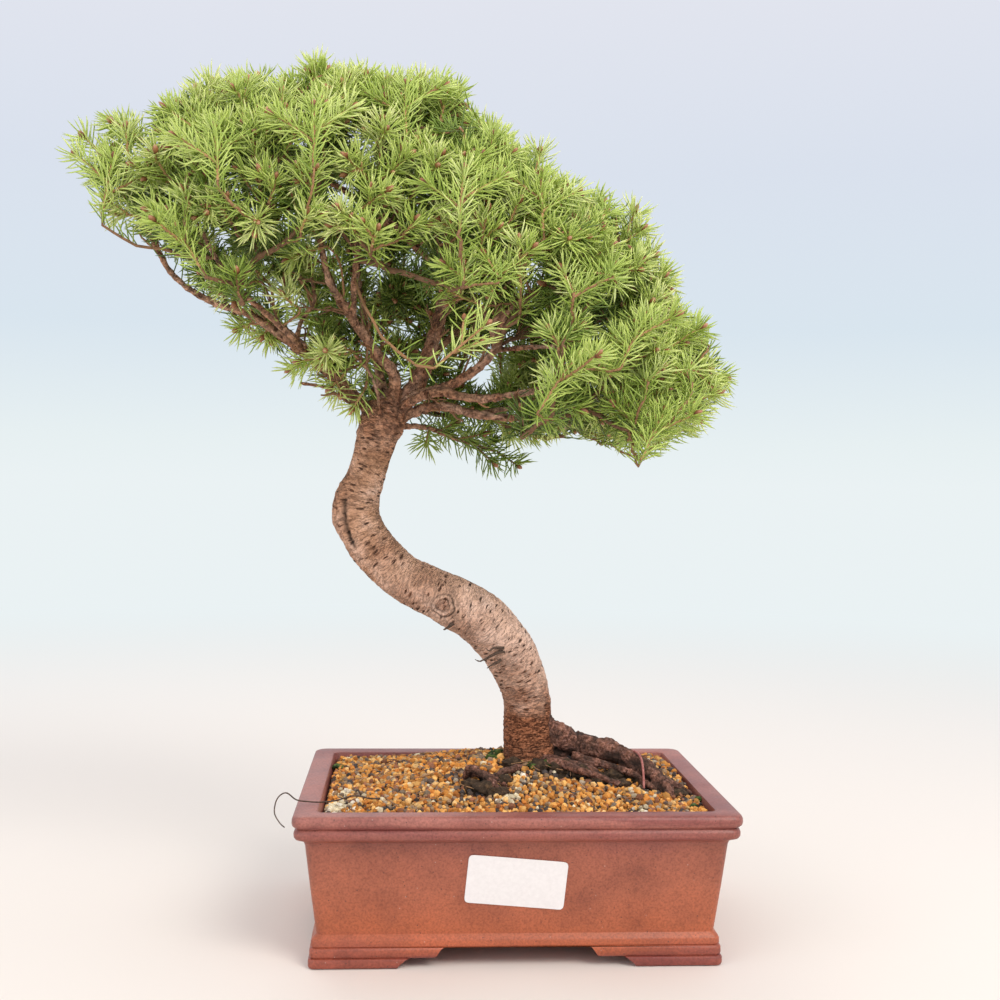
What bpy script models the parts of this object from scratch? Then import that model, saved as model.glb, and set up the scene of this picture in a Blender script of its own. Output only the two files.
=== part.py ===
"""Spruce bonsai with an S-curved trunk, in a rectangular unglazed clay pot.

The pot's foot stands on z = 0. Everything is laid out in millimetres round the middle of
the pot, and place() turns that into metres, with the origin under the middle of the
whole object.
"""

import math
import random

import bmesh
import bpy
import numpy as np
from mathutils import Matrix, Vector

SEED = 7
UP = Vector((0, 0, 1))
METRE = 0.001
CLEARANCE = 0.3  # between pieces that touch

# Pot, outside of the rim
POT_WIDTH = 225.0
POT_DEPTH = 175.0
POT_HEIGHT = 77.5
RIM_WIDTH = 12.3
FOOT_HEIGHT = 10.0
FLOOR_BOTTOM = 10.6
FLOOR_TOP = 17.5
FOOT_INSET = 8.3
FOOT_DEPTH = 17.0
FOOT_LENGTH = 44.0
TIER_HEIGHT = 4.9
CORNER_SEGMENTS = 3
DRAIN_X = 50.0
DRAIN_RADIUS = 7.5

# Mesh squares over the drain holes
MESH_HOLES = 2
MESH_PITCH = 8.4
MESH_BAR = 1.5
MESH_THICKNESS = 1.2

# Label on the front wall
LABEL_SIZE = (50.0, 25.0)
LABEL_CENTRE = (-1.0, 43.0)
LABEL_TILT = -5.0
LABEL_THICKNESS = 0.4

# Soil: a level edge and a mound round the trunk
SOIL_EDGE = 73.0
SOIL_MOUND = 14.0
SOIL_SPREAD = (78.0, 62.0)
SOIL_CELLS = (18, 14)
GRAIN_HEIGHT = (1.6, 3.4)

# Trunk: points and radii, from the root crown to the crotch
TRUNK = (
    ((12, 16, 62), 10.0), ((13, 15, 76), 15.5), ((13, 15, 87), 15.2), ((12, 15, 97), 13.9),
    ((11, 14, 119), 13.2), ((7, 12, 134), 13.9), ((-3, 9, 152), 14.6), ((-15, 7, 165), 14.9),
    ((-29, 5, 174), 14.6), ((-46, 5, 182), 13.2), ((-61, 6, 190), 12.6), ((-75, 8, 203), 12.2),
    ((-84, 10, 218), 12.4), ((-85.5, 12, 230), 12.2), ((-82, 12, 243), 10.8),
    ((-78, 12, 256), 10.3), ((-75, 12, 267), 11.2), ((-72, 12, 277), 12.4), ((-69, 12, 286), 8.5),
)
BASE = Vector((13, 15, 0))
CROTCH = Vector((-72, 12, 278))

# Main limbs: points, first and last radius, and whether twigs grow from them
LIMBS = {
    "front_left": ([(-69, 11, 279), (-66, 6, 294), (-67, 1, 304), (-78, -8, 315), (-87, -16, 327),
                    (-94, -22, 339), (-101, -28, 349), (-105, -34, 369)], 4.2, 1.9, True),
    "front_rise": ([(-88, -17, 329), (-88, -25, 341), (-86, -36, 356), (-82, -50, 376),
                    (-78, -58, 396)], 2.2, 1.5, True),
    "leader": ([(-70, 12, 277), (-60, 12, 288), (-52, 12, 300), (-47, 14, 316), (-42, 16, 330),
                (-38, 19, 350), (-36, 18, 378), (-46, 14, 404), (-62, 9, 428)], 6.0, 1.5, True),
    "leader_right": ([(-40, 17, 340), (-26, 18, 356), (-8, 12, 372), (12, 6, 382), (30, 2, 384)],
                     2.6, 1.4, True),
    "leader_left": ([(-37, 19, 358), (-56, 26, 378), (-88, 22, 402), (-122, 12, 418),
                     (-150, 6, 428)], 2.8, 1.4, True),
    "right_rise": ([(-68, 11, 280), (-58, 8, 287), (-46, 4, 292), (-32, 0, 297), (-21, -6, 304),
                    (-11, -12, 314), (-10, -18, 325), (-4, -26, 335), (4, -33, 341),
                    (18, -44, 351)], 4.0, 1.5, True),
    "right_stub": ([(-11, -12, 314), (-13, -17, 324), (-19, -21, 336), (-26, -24, 345)], 2.2, 1.5, False),
    "right_spur": ([(-14, -18, 327), (-10, -21, 333), (-7, -23, 340)], 1.5, 1.2, False),
    "right_dead": ([(-11, -13, 314), (-2, -19, 315), (10, -24, 315), (31, -33, 316)], 1.9, 1.5, False),
    "right_front": ([(-66, 10, 282), (-54, 6, 291), (-39, 0, 291), (-22, -8, 288), (-8, -15, 288),
                     (5, -21, 291), (24, -29, 295), (50, -37, 300), (74, -42, 306)], 3.4, 1.4, True),
    "right_low": ([(-68, 13, 275), (-56, 15, 281), (-44, 20, 285), (-32, 24, 282), (-15, 28, 281),
                   (2, 30, 279), (30, 30, 283), (62, 24, 288), (88, 14, 294)], 3.6, 1.4, True),
    "right_back": ([(-20, 27, 281), (-4, 40, 284), (18, 52, 292), (44, 60, 302), (62, 58, 312)],
                   2.3, 1.4, True),
    "droop": ([(-70, 15, 272), (-60, 22, 275), (-45, 40, 273), (-30, 55, 268), (-16, 65, 263),
               (-4, 71, 261)], 2.4, 1.3, False),
    "back": ([(-70, 14, 277), (-72, 30, 296), (-80, 52, 322), (-88, 68, 352), (-90, 70, 384)],
             3.6, 1.4, True),
    "back_right": ([(-50, 13, 305), (-38, 34, 322), (-18, 54, 342), (4, 64, 362), (16, 62, 380)],
                   2.6, 1.4, True),
    "left_low": ([(-74, 11, 276), (-84, 9, 285), (-96, 4, 297), (-112, -2, 309), (-124, -8, 318),
                  (-136, -10, 326), (-150, -12, 334), (-168, -12, 339), (-180, -12, 347),
                  (-191, -10, 359), (-198, -8, 374), (-208, -5, 390)], 3.8, 1.4, True),
    "left_front": ([(-108, -1, 306), (-120, -22, 318), (-140, -42, 336), (-160, -54, 356),
                    (-168, -56, 376)], 2.3, 1.4, True),
    "left_back": ([(-92, 6, 294), (-112, 26, 314), (-140, 44, 338), (-168, 50, 362),
                   (-186, 44, 384)], 2.8, 1.4, True),
    "left_inner": ([(-120, -6, 315), (-117, -4, 328), (-110, -2, 340), (-112, 0, 354)], 1.9, 1.3, False),
    "left_twig": ([(-76, 6, 280), (-88, 2, 284), (-98, -2, 290), (-110, -6, 296), (-117, -8, 295)],
                  1.6, 1.0, False),
    "dead_twig": ([(-73, 2, 277), (-75, -4, 290), (-78, -7, 300), (-88, -10, 311)], 1.1, 0.8, False),
}

# Roots: over the soil to the right, a small arch at the front, and others below the soil
ROOTS = {
    "ridge": ([(16, 15, 84), (28, 15, 92), (38, 14, 94), (52, 6, 93), (66, -4, 90), (76, -16, 85),
               (84, -30, 78), (88, -40, 68)], 8.5, 3.2),
    "ridge_fork": ([(60, 0, 91), (70, -10, 84), (72, -18, 76), (73, -26, 66)], 4.2, 2.2),
    "knuckle": ([(16, 8, 80), (24, -2, 86), (36, -10, 86), (48, -15, 82), (60, -20, 74)], 5.5, 2.4),
    "arch": ([(6, 6, 62), (-6, -6, 66), (-24, -18, 76), (-24, -24, 87), (-17, -30, 88),
              (-8, -40, 80), (-4, -48, 68)], 3.4, 1.6),
    "buried_left": ([(10, 16, 64), (-14, 20, 56), (-44, 24, 46), (-70, 20, 36)], 6.0, 1.6),
    "buried_back": ([(12, 18, 64), (16, 34, 54), (30, 50, 42), (52, 58, 32)], 5.5, 1.6),
    "buried_right": ([(14, 15, 62), (38, 22, 50), (62, 28, 38), (82, 30, 28)], 5.0, 1.6),
}

# Crown: outer surface at the needle tips, as knots (x, top z, rim z, half depth)
CROWN = (
    (-236, 441, 434, 8), (-212, 452, 412, 42), (-176, 468, 382, 70), (-140, 478, 364, 88),
    (-100, 484, 352, 98), (-55, 480, 343, 100), (-12, 458, 332, 98), (30, 422, 314, 92),
    (65, 396, 294, 80), (90, 362, 281, 62), (108, 324, 283, 40), (117, 306, 298, 12),
)
SPRAY_COUNT = 38
OPEN_FRONT = (-165, -28)  # where the front shows the branches, below OPEN_TURN
OPEN_TURN = -60
TWIG_RADIUS = (2.0, 1.2)
LEADER_LENGTH = 34.0
SIDE_LENGTH = 24.0
SIDE_ANGLE = 54.0
TIP_REACH = 8.0
# Sprays that the dome's rule doesn't give: needle tip and direction
EXTRA_SPRAYS = (
    ((34, 78, 256), (0.93, 0.18, -0.10)), ((38, -76, 368), (0.84, -0.50, 0.22)),
    ((-242, -6, 446), (-0.84, 0.0, 0.54)), ((118, 2, 300), (0.97, -0.05, 0.12)),
    ((-134, -28, 292), (-0.85, -0.45, -0.20)),
)

# Needles
CORE_RADIUS = 0.8
BAND = 4.3
NEEDLE_LENGTH = 14.0
NEEDLE_TILT = 52.0
TIP_TILT = 34.0
NEEDLE_ROOT = 1.5
BUD_LENGTH = 2.6
AIR = 0.3  # least gap between a needle and any other piece


def clear_scene():
    for obj in list(bpy.data.objects):
        bpy.data.objects.remove(obj, do_unlink=True)


def material(name, colour, roughness):
    made = bpy.data.materials.new(name)
    made.use_nodes = True
    shader = made.node_tree.nodes["Principled BSDF"]
    shader.inputs["Base Color"].default_value = (*colour, 1)
    shader.inputs["Roughness"].default_value = roughness
    shader.inputs["Metallic"].default_value = 0
    return made


def mesh_object(name, points, faces, finish=None):
    """An object in millimetres; place() scales it once the whole tree is built."""
    mesh = bpy.data.meshes.new(name)
    mesh.from_pydata([tuple(p) for p in points], [], faces)
    obj = bpy.data.objects.new(name, mesh)
    bpy.context.scene.collection.objects.link(obj)
    if finish:
        mesh.materials.append(finish)
    return obj


def apply_modifiers(obj):
    graph = bpy.context.evaluated_depsgraph_get()
    mesh = bpy.data.meshes.new_from_object(obj.evaluated_get(graph))
    obj.modifiers.clear()
    obj.data = mesh


def combine(obj, others, operation, solver):
    """One Boolean of obj with a collection of the others, which are then removed."""
    if not others:
        return
    group = bpy.data.collections.new(obj.name + "_group")
    for other in others:
        group.objects.link(other)
    modifier = obj.modifiers.new("Combine", "BOOLEAN")
    modifier.operation = operation
    modifier.solver = solver
    modifier.operand_type = "COLLECTION"
    modifier.collection = group
    apply_modifiers(obj)
    for other in others:
        bpy.data.objects.remove(other, do_unlink=True)
    bpy.data.collections.remove(group)


# Paths and tubes


def spline(points, count):
    """count points along a Catmull-Rom curve through the given ones, evenly by length."""
    knots = [Vector(p) for p in points]
    knots = [2 * knots[0] - knots[1], *knots, 2 * knots[-1] - knots[-2]]
    fine = []
    steps = 12
    for a, b, c, d in zip(knots, knots[1:], knots[2:], knots[3:]):
        for i in range(steps):
            t = i / steps
            fine.append(0.5 * (2 * b + (c - a) * t + (2 * a - 5 * b + 4 * c - d) * t * t
                               + (3 * b - a - 3 * c + d) * t ** 3))
    fine.append(knots[-2])
    lengths = np.cumsum([0] + [(q - p).length for p, q in zip(fine, fine[1:])])
    wanted = np.linspace(0, lengths[-1], count)
    axes = [np.interp(wanted, lengths, [p[k] for p in fine]) for k in range(3)]
    return [Vector(p) for p in zip(*axes)]


def directions(path):
    ends = [path[0], *path, path[-1]]
    return [(c - a).normalized() for a, c in zip(ends, ends[2:])]


def frames(path):
    """A side vector at each point, carried along the path without twist."""
    along = directions(path)
    side = along[0].orthogonal().normalized()
    sides = []
    for t in along:
        side = (side - t * side.dot(t)).normalized()
        sides.append(side)
    return along, sides


def tube(name, path, radii, sides, finish=None):
    """A closed tube of flat-sided rings along the path."""
    along, across = frames(path)
    points = []
    for p, t, s, radius in zip(path, along, across, radii):
        points += [p + radius * (Matrix.Rotation(math.tau * k / sides, 3, t) @ s) for k in range(sides)]
    faces = [tuple(reversed(range(sides)))]
    for ring in range(len(path) - 1):
        low = ring * sides
        for k in range(sides):
            n = (k + 1) % sides
            faces.append((low + k, low + n, low + sides + n, low + sides + k))
    faces.append(tuple(range((len(path) - 1) * sides, len(path) * sides)))
    return mesh_object(name, points, faces, finish)


def tapered(first, last, count):
    return [float(r) for r in np.linspace(first, last, count)]


# Clearances


class Solids:
    """Capsules that stand for wood, spray cores and needles, for measuring clearances."""

    def __init__(self):
        self.start = np.zeros((0, 3))
        self.end = np.zeros((0, 3))
        self.first = np.zeros(0)
        self.last = np.zeros(0)
        self.owner = np.zeros(0, int)

    def add(self, path, first, last, owner):
        count = len(path) - 1
        radii = np.linspace(first, last, count + 1)
        points = np.array([tuple(p) for p in path])
        self.start = np.vstack([self.start, points[:-1]])
        self.end = np.vstack([self.end, points[1:]])
        self.first = np.append(self.first, radii[:-1])
        self.last = np.append(self.last, radii[1:])
        self.owner = np.append(self.owner, np.full(count, owner))

    def room(self, start, end, first, last, skip=()):
        """The least gap from one capsule to all the others, apart from skipped owners."""
        p, q = np.array(tuple(start)), np.array(tuple(end))
        reach = np.linalg.norm(self.end - self.start, axis=1) / 2 + np.linalg.norm(q - p) / 2 + 20
        near = np.linalg.norm((self.start + self.end - p - q) / 2, axis=1) < reach
        near &= ~np.isin(self.owner, list(skip))
        if not near.any():
            return math.inf
        a, b = self.start[near], self.end[near]
        u, v, w = q - p, b - a, p - a
        uu, uv, vv = u @ u, v @ u, np.maximum((v * v).sum(1), 1e-9)
        wu, wv = w @ u, (w * v).sum(1)
        slack = np.maximum(uu * vv - uv * uv, 1e-9)
        s = np.clip((uv * wv - vv * wu) / slack, 0, 1)
        t = np.clip((uv * s + wv) / vv, 0, 1)
        s = np.clip((uv * t - wu) / uu, 0, 1)
        apart = np.linalg.norm(w + s[:, None] * u - t[:, None] * v, axis=1)
        others = self.first[near] * (1 - t) + self.last[near] * t
        return float((apart - others - first * (1 - s) - last * s).min())


# Crown plan


def crown_at(x):
    xs, top, rim, depth = zip(*CROWN)
    return [float(np.interp(x, xs, values)) for values in (top, rim, depth)]


def crown_point(x, turn):
    """A point of the crown's outer surface; turn is 0 at the top, -90 at the front rim."""
    top, rim, depth = crown_at(x)
    a = math.radians(turn)
    return Vector((x, depth * math.sin(a), rim + (top - rim) * math.cos(a)))


def crown_normal(x, turn):
    step = 2.0
    along = crown_point(x + step, turn) - crown_point(x - step, turn)
    round_ = crown_point(x, turn + step) - crown_point(x, turn - step)
    return along.cross(round_).normalized() * -1


def spray_tips():
    """Needle tip and direction of each spray: the extra ones, then an even spread over the
    dome, each one placed as far as it can be from those before it."""
    tips = [(Vector(tip), Vector(way).normalized()) for tip, way in EXTRA_SPRAYS]
    low, high = CROWN[0][0], CROWN[-1][0]
    places = []
    for i in range(round((high - low) / 5) + 1):
        x = low + 5 * i
        for turn in range(-92, 93, 4):
            if turn < OPEN_TURN and OPEN_FRONT[0] < x < OPEN_FRONT[1]:
                continue
            places.append((crown_point(x, turn), x, turn))
    points = np.array([tuple(p) for p, _, _ in places])
    apart = np.full(len(places), np.inf)
    for tip, _ in tips:
        apart = np.minimum(apart, np.linalg.norm(points - np.array(tip), axis=1))
    for _ in range(SPRAY_COUNT):
        tip, x, turn = places[int(apart.argmax())]
        away = (tip - CROTCH).normalized()
        way = (0.55 * crown_normal(x, turn) + 0.55 * away + 0.25 * UP).normalized()
        tips.append((tip, way))
        apart = np.minimum(apart, np.linalg.norm(points - np.array(tip), axis=1))
    return sorted(tips, key=lambda item: (item[0] - CROTCH).length)


def limb_path(points):
    return spline(points, max(4, round(len(points) * 0.75)))


def limb_nodes():
    """Points on the main limbs where a twig may start: place, direction and radius."""
    nodes = []
    for name, (points, first, last, grows) in LIMBS.items():
        path = limb_path(points)
        whole = sum((q - p).length for p, q in zip(path, path[1:]))
        gone = 0
        for p, q in zip(path, path[1:]):
            way = (q - p).normalized()
            for share in (0, 0.33, 0.67, 0.94):
                along = (gone + share * (q - p).length) / whole
                if grows and along > 0.3 or name == "droop" and along > 0.97:
                    nodes.append((p.lerp(q, share), way, first + (last - first) * along))
            gone += (q - p).length
    return nodes


def twig_path(start, along, end, way):
    """A bent twig from a limb to a spray, its last bit straight in the spray's direction."""
    foot = end - way * 4
    reach = (foot - start).length
    lean = (along + (foot - start).normalized()).normalized()
    middle = (start + foot) / 2 + (lean - way) * reach * 0.135
    return [start, middle, foot, end] if reach > 22 else [start, foot, end]


def sharpest_bend(path):
    legs = [(q - p).normalized() for p, q in zip(path, path[1:])]
    return min(a.dot(b) for a, b in zip(legs, legs[1:]))


def best_node(nodes, place, way):
    def cost(node):
        p, t, _ = node
        to = place - p
        length = max(to.length, 1e-6)
        turn = 2 - to.dot(t) / length - to.dot(way) / length
        awkward = length < 14 or to.dot(way) < 0.35 * length
        return length * (1 + 0.5 * turn) + (50 if awkward else 0)

    return min(nodes, key=cost)


def plan_sprays():
    """The whole crown: each spray's twig of wood and its green shoots, clear of the others."""
    rng = random.Random(SEED)
    solids = Solids()
    for points, first, last, _ in LIMBS.values():
        solids.add(limb_path(points), first, last, -1)
    nodes = limb_nodes()
    sprays = []
    for tip, way in spray_tips():
        best = None
        for attempt in range(24):
            wobble = 0.05 * min(attempt, 8)
            turned = (way + Vector([rng.uniform(-wobble, wobble) for _ in range(3)])).normalized()
            slip = Vector([rng.uniform(-1, 1) for _ in range(3)]) * min(attempt, 8)
            base = tip + slip - turned * (LEADER_LENGTH + TIP_REACH)
            node = best_node(nodes, base, turned)
            twig = twig_path(node[0], node[1], base, turned)
            end = base + turned * LEADER_LENGTH
            room = solids.room(base + turned * 2, end, CORE_RADIUS, CORE_RADIUS)
            for p, q in zip(twig[1:], twig[2:]):
                room = min(room, solids.room(p, q, 1.5, 1.3, skip=[-1]))
            if sharpest_bend(twig) < 0.4:
                room = -1
            if best is None or room > best[0]:
                best = (room, base, turned, twig, node, end)
            if room > 5:
                break
        room, base, turned, twig, node, end = best
        if room < 2.5:
            continue
        number = len(sprays)
        thick = max(TWIG_RADIUS[1], min(node[2] * 0.9, TWIG_RADIUS[0]))
        nodes = [other for other in nodes if (other[0] - node[0]).length > 9]
        for p, q in zip(twig[:-2], twig[1:-1]):
            nodes += [(p.lerp(q, 0.75), (q - p).normalized(), TWIG_RADIUS[1] * 1.2)]
        solids.add(twig, thick, TWIG_RADIUS[1], -2)
        start = base + turned * CLEARANCE
        solids.add([start, end], CORE_RADIUS, CORE_RADIUS, number)
        sprays.append({
            "twig": twig, "radius": thick, "way": turned,
            "shoots": [(start, end)],
        })
    for number, spray in enumerate(sprays):
        add_side_shoots(spray, number, solids, rng)
    return sprays, solids


def add_side_shoots(spray, number, solids, rng):
    """Side shoots left and right of the leader, each turned until it is clear of its neighbours."""
    start, end = spray["shoots"][0]
    way = spray["way"]
    flat = way.cross(UP)
    if flat.length < 0.35:
        flat = way.cross(Vector((0, 1, 0)))
    flat.normalize()
    for k, share in enumerate((0.34, 0.52)):
        root = start.lerp(end, share)
        side = flat if k % 2 else -flat
        for attempt in range(10):
            roll = rng.uniform(-1, 1) * (12 + 14 * attempt)
            length = SIDE_LENGTH * (1 - 0.04 * attempt)
            outward = Matrix.Rotation(math.radians(roll), 3, way) @ side
            angle = math.radians(SIDE_ANGLE)
            tip = root + length * (way * math.cos(angle) + outward * math.sin(angle))
            foot = root.lerp(tip, 0.2)
            if solids.room(foot, tip, CORE_RADIUS, CORE_RADIUS, skip=[number]) > 3:
                spray["shoots"].append((root, tip))
                solids.add([root, tip], CORE_RADIUS, CORE_RADIUS, number)
                break


# Sprays


class Shoot:
    """A three-sided core in bands, each ring turned against the last, with a needle raised
    from every second triangle."""

    def __init__(self, start, end, bare):
        self.way = (end - start).normalized()
        self.start = start
        length = (end - start).length - BUD_LENGTH
        self.bands = max(2, round(length / BAND))
        self.bare = bare
        side = self.way.orthogonal().normalized()
        self.rings = []
        for ring in range(self.bands + 1):
            middle = start + self.way * (length * ring / self.bands)
            turn = ring * math.radians(60 + 9)
            self.rings.append([
                middle + CORE_RADIUS * (Matrix.Rotation(turn + math.tau * k / 3, 3, self.way) @ side)
                for k in range(3)
            ])
        self.bud = end
        self.needles = {}

    def triangles(self):
        """(band, corner points' indices) of every triangle of the core's side."""
        for band in range(self.bands):
            for k in range(3):
                n = (k + 1) % 3
                low, high = 3 * band, 3 * band + 3
                yield band, True, (low + k, low + n, high + k)
                yield band, False, (low + n, high + n, high + k)

    def needle_lines(self):
        """Each needle's key, root and the ways in which it may point, the best one first."""
        points = [p for ring in self.rings for p in ring]
        for band, raised, corners in self.triangles():
            if not raised or band < self.bare:
                continue
            root = sum((points[c] for c in corners), Vector()) / 3
            axis_point = self.start + self.way * (root - self.start).dot(self.way)
            out = (root - axis_point).normalized()
            last = band == self.bands - 1
            tilt = TIP_TILT if last else NEEDLE_TILT
            tries = []
            for swing, lean, share in ((0, 0, 1), (0, -10, 1), (14, 0, 1), (-14, 0, 1), (0, 9, 0.9),
                                       (12, -12, 0.85), (-12, -12, 0.85), (0, 0, 0.72), (0, -14, 0.6)):
                turned = Matrix.Rotation(math.radians(swing), 3, self.way) @ out
                angle = math.radians(tilt + lean)
                tries.append(root + share * NEEDLE_LENGTH
                             * (self.way * math.cos(angle) + turned * math.sin(angle)))
            yield (band, corners), root, tries

    def object(self, name):
        points = [p for ring in self.rings for p in ring]
        faces = [(2, 1, 0)]
        for band, raised, corners in self.triangles():
            tip = self.needles.get((band, corners))
            if tip is None:
                faces.append(corners)
                continue
            a, b, c = corners
            n = len(points)
            points.append(tip)
            faces += [(a, b, n), (b, c, n), (c, a, n)]
        top = 3 * self.bands
        points.append(self.bud)
        faces += [(top + k, top + (k + 1) % 3, len(points) - 1) for k in range(3)]
        return mesh_object(name, points, faces)


def grow_needles(sprays, solids):
    """Raises each needle in the first of its ways that is clear of all that is there."""
    for number, spray in enumerate(sprays):
        spray["parts"] = []
        for k, (start, end) in enumerate(spray["shoots"]):
            shoot = Shoot(start, end, bare=1 if k else 0)
            spray["parts"].append(shoot)
    for number, spray in enumerate(sprays):
        for k, shoot in enumerate(spray["parts"]):
            own = 1000 + 10 * number + k
            grown = []
            for key, root, tries in shoot.needle_lines():
                for tip in tries:
                    if clear_of_all(solids, root, tip, number, own, spray, k):
                        shoot.needles[key] = tip
                        grown.append((root, tip))
                        break
            for root, tip in grown:
                solids.add([root, tip], NEEDLE_ROOT, 0.05, own)


def clear_of_all(solids, root, tip, number, own, spray, k):
    """Whether a needle is clear of the other pieces, and of its own spray's other shoots."""
    if solids.room(root, tip, NEEDLE_ROOT, 0.05, skip=[number, own]) < AIR:
        return False
    foot = root.lerp(tip, 0.22)
    others = Solids()
    for j, (start, end) in enumerate(spray["shoots"]):
        if j != k:
            others.add([start, end], CORE_RADIUS, CORE_RADIUS, j)
    return others.room(foot, tip, NEEDLE_ROOT * 0.8, 0.05) > AIR


def build_sprays(sprays, finish):
    for number, spray in enumerate(sprays):
        name = f"spray_{number + 1:02d}"
        objects = [shoot.object(f"{name}_{k}") for k, shoot in enumerate(spray["parts"])]
        main, others = objects[0], objects[1:]
        combine(main, others, "UNION", "EXACT")
        main.name = name
        main.data.name = name
        main.data.materials.clear()
        main.data.materials.append(finish)


# Wood


def build_wood(sprays, finish):
    """Trunk, limbs, twigs and roots, grown together in one piece."""
    path = [Vector(p) for p, _ in TRUNK]
    wood = tube("trunk_and_branches", path, [r for _, r in TRUNK], 10, finish)
    others = []
    for name, (points, first, last, _) in LIMBS.items():
        path = limb_path(points)
        others.append(tube(name, path, tapered(first, last, len(path)), 6 if first > 3.5 else 4))
    for name in ROOTS:
        others.append(root_tube(name, 0))
    for number, spray in enumerate(sprays):
        radii = tapered(spray["radius"], TWIG_RADIUS[1], len(spray["twig"]))
        others.append(tube(f"twig_{number}", spray["twig"], radii, 4))
    combine(wood, others, "UNION", "MANIFOLD")
    wood.data.materials.clear()
    wood.data.materials.append(finish)
    return wood


# Pot, soil and what goes with them


def rounded_rectangle(half_x, half_y, radius, z):
    points = []
    for quarter, (sx, sy) in enumerate(((1, 1), (-1, 1), (-1, -1), (1, -1))):
        centre = Vector((sx * (half_x - radius), sy * (half_y - radius), z))
        for k in range(CORNER_SEGMENTS + 1):
            a = math.radians(90 * (quarter + k / CORNER_SEGMENTS))
            points.append(centre + radius * Vector((math.cos(a), math.sin(a), 0)))
    return points


def lofted(name, levels, finish=None):
    """A closed solid through rounded rectangles, given as (inset from the rim, radius, z)."""
    points, faces = [], []
    for inset, radius, z in levels:
        points += rounded_rectangle(POT_WIDTH / 2 - inset, POT_DEPTH / 2 - inset, radius, z)
    side = 4 * (CORNER_SEGMENTS + 1)
    faces.append(tuple(reversed(range(side))))
    for level in range(len(levels) - 1):
        low = level * side
        for k in range(side):
            n = (k + 1) % side
            faces.append((low + k, low + n, low + side + n, low + side + k))
    faces.append(tuple(range(len(points) - side, len(points))))
    return mesh_object(name, points, faces, finish)


POT_OUTSIDE = (
    (FOOT_INSET + FOOT_DEPTH + 1, 6, FLOOR_BOTTOM), (FOOT_INSET + FOOT_DEPTH, 6, 0),
    (FOOT_INSET + 0.6, 3, 0), (FOOT_INSET, 3.5, 0.8), (FOOT_INSET, 3.5, TIER_HEIGHT - 0.8),
    (FOOT_INSET + 1.2, 3.5, TIER_HEIGHT), (FOOT_INSET + 0.6, 3.5, TIER_HEIGHT + 0.8),
    (FOOT_INSET + 0.6, 3.5, FOOT_HEIGHT - 0.8), (FOOT_INSET + 1.8, 3.5, FOOT_HEIGHT),
    (FOOT_INSET + 1.2, 3.5, FOOT_HEIGHT + 0.8), (FOOT_INSET + 1.6, 3.5, 14.2),
    (12.0, 4, 16.2), (6.2, 5, 62.5), (5.4, 5, 64.0), (1.9, 6, 65.4), (1.0, 6, 67.0), (1.1, 6, 69.4),
    (2.4, 6, 70.8), (0.5, 6, 72.0), (0.0, 6, 73.4), (0.1, 6, 76.0), (1.4, 6, POT_HEIGHT),
)
POT_INSIDE = (
    (RIM_WIDTH - 0.8, 4.5, POT_HEIGHT), (RIM_WIDTH, 4.2, POT_HEIGHT - 1.0), (RIM_WIDTH + 1.4, 4, 68.0),
    (19.0, 4, FLOOR_TOP),
)


def build_pot(finish):
    pot = lofted("pot", POT_OUTSIDE + POT_INSIDE, finish)
    far = 200
    half_x = POT_WIDTH / 2 - FOOT_INSET
    half_y = POT_DEPTH / 2 - FOOT_INSET
    cutters = []
    for name, half, turn in (("front_arch", half_x, 0), ("side_arch", half_y, 90)):
        reach = half - FOOT_LENGTH
        outline = ((reach, -1), (reach - 6, TIER_HEIGHT), (reach - 19, TIER_HEIGHT),
                   (reach - 23, FOOT_HEIGHT))
        ring = [*outline, *[(-x, z) for x, z in reversed(outline)]]
        turned = Matrix.Rotation(math.radians(turn), 3, "Z")
        points = [turned @ Vector((x, y, z)) for y in (-far, far) for x, z in ring]
        count = len(ring)
        faces = [tuple(range(count)), tuple(reversed(range(count, 2 * count)))]
        faces += [(k, k + count, (k + 1) % count + count, (k + 1) % count) for k in range(count)]
        cutter = mesh_object(name, points, faces)
        face_outwards(cutter)
        cutters.append(cutter)
    for side in (-1, 1):
        path = [Vector((side * DRAIN_X, 0, z)) for z in (FLOOR_BOTTOM - 2, FLOOR_TOP + 2)]
        cutters.append(tube(f"drain_{side}", path, [DRAIN_RADIUS] * 2, 12))
    for cutter in cutters:
        combine(pot, [cutter], "DIFFERENCE", "EXACT")
    return pot


def face_outwards(obj):
    work = bmesh.new()
    work.from_mesh(obj.data)
    bmesh.ops.recalc_face_normals(work, faces=work.faces)
    work.to_mesh(obj.data)
    work.free()


def soil_height(x, y):
    dx = (x - BASE.x) / SOIL_SPREAD[0]
    dy = (y - BASE.y) / SOIL_SPREAD[1]
    return SOIL_EDGE + SOIL_MOUND * math.exp(-(dx * dx + dy * dy))


def soil_inset(z):
    """The soil's side follows the pot's inner wall."""
    low, high = POT_INSIDE[-1], POT_INSIDE[-2]
    share = (z - low[2]) / (high[2] - low[2])
    return low[0] + (high[0] - low[0]) * min(share, 1) + CLEARANCE + 0.2


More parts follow.
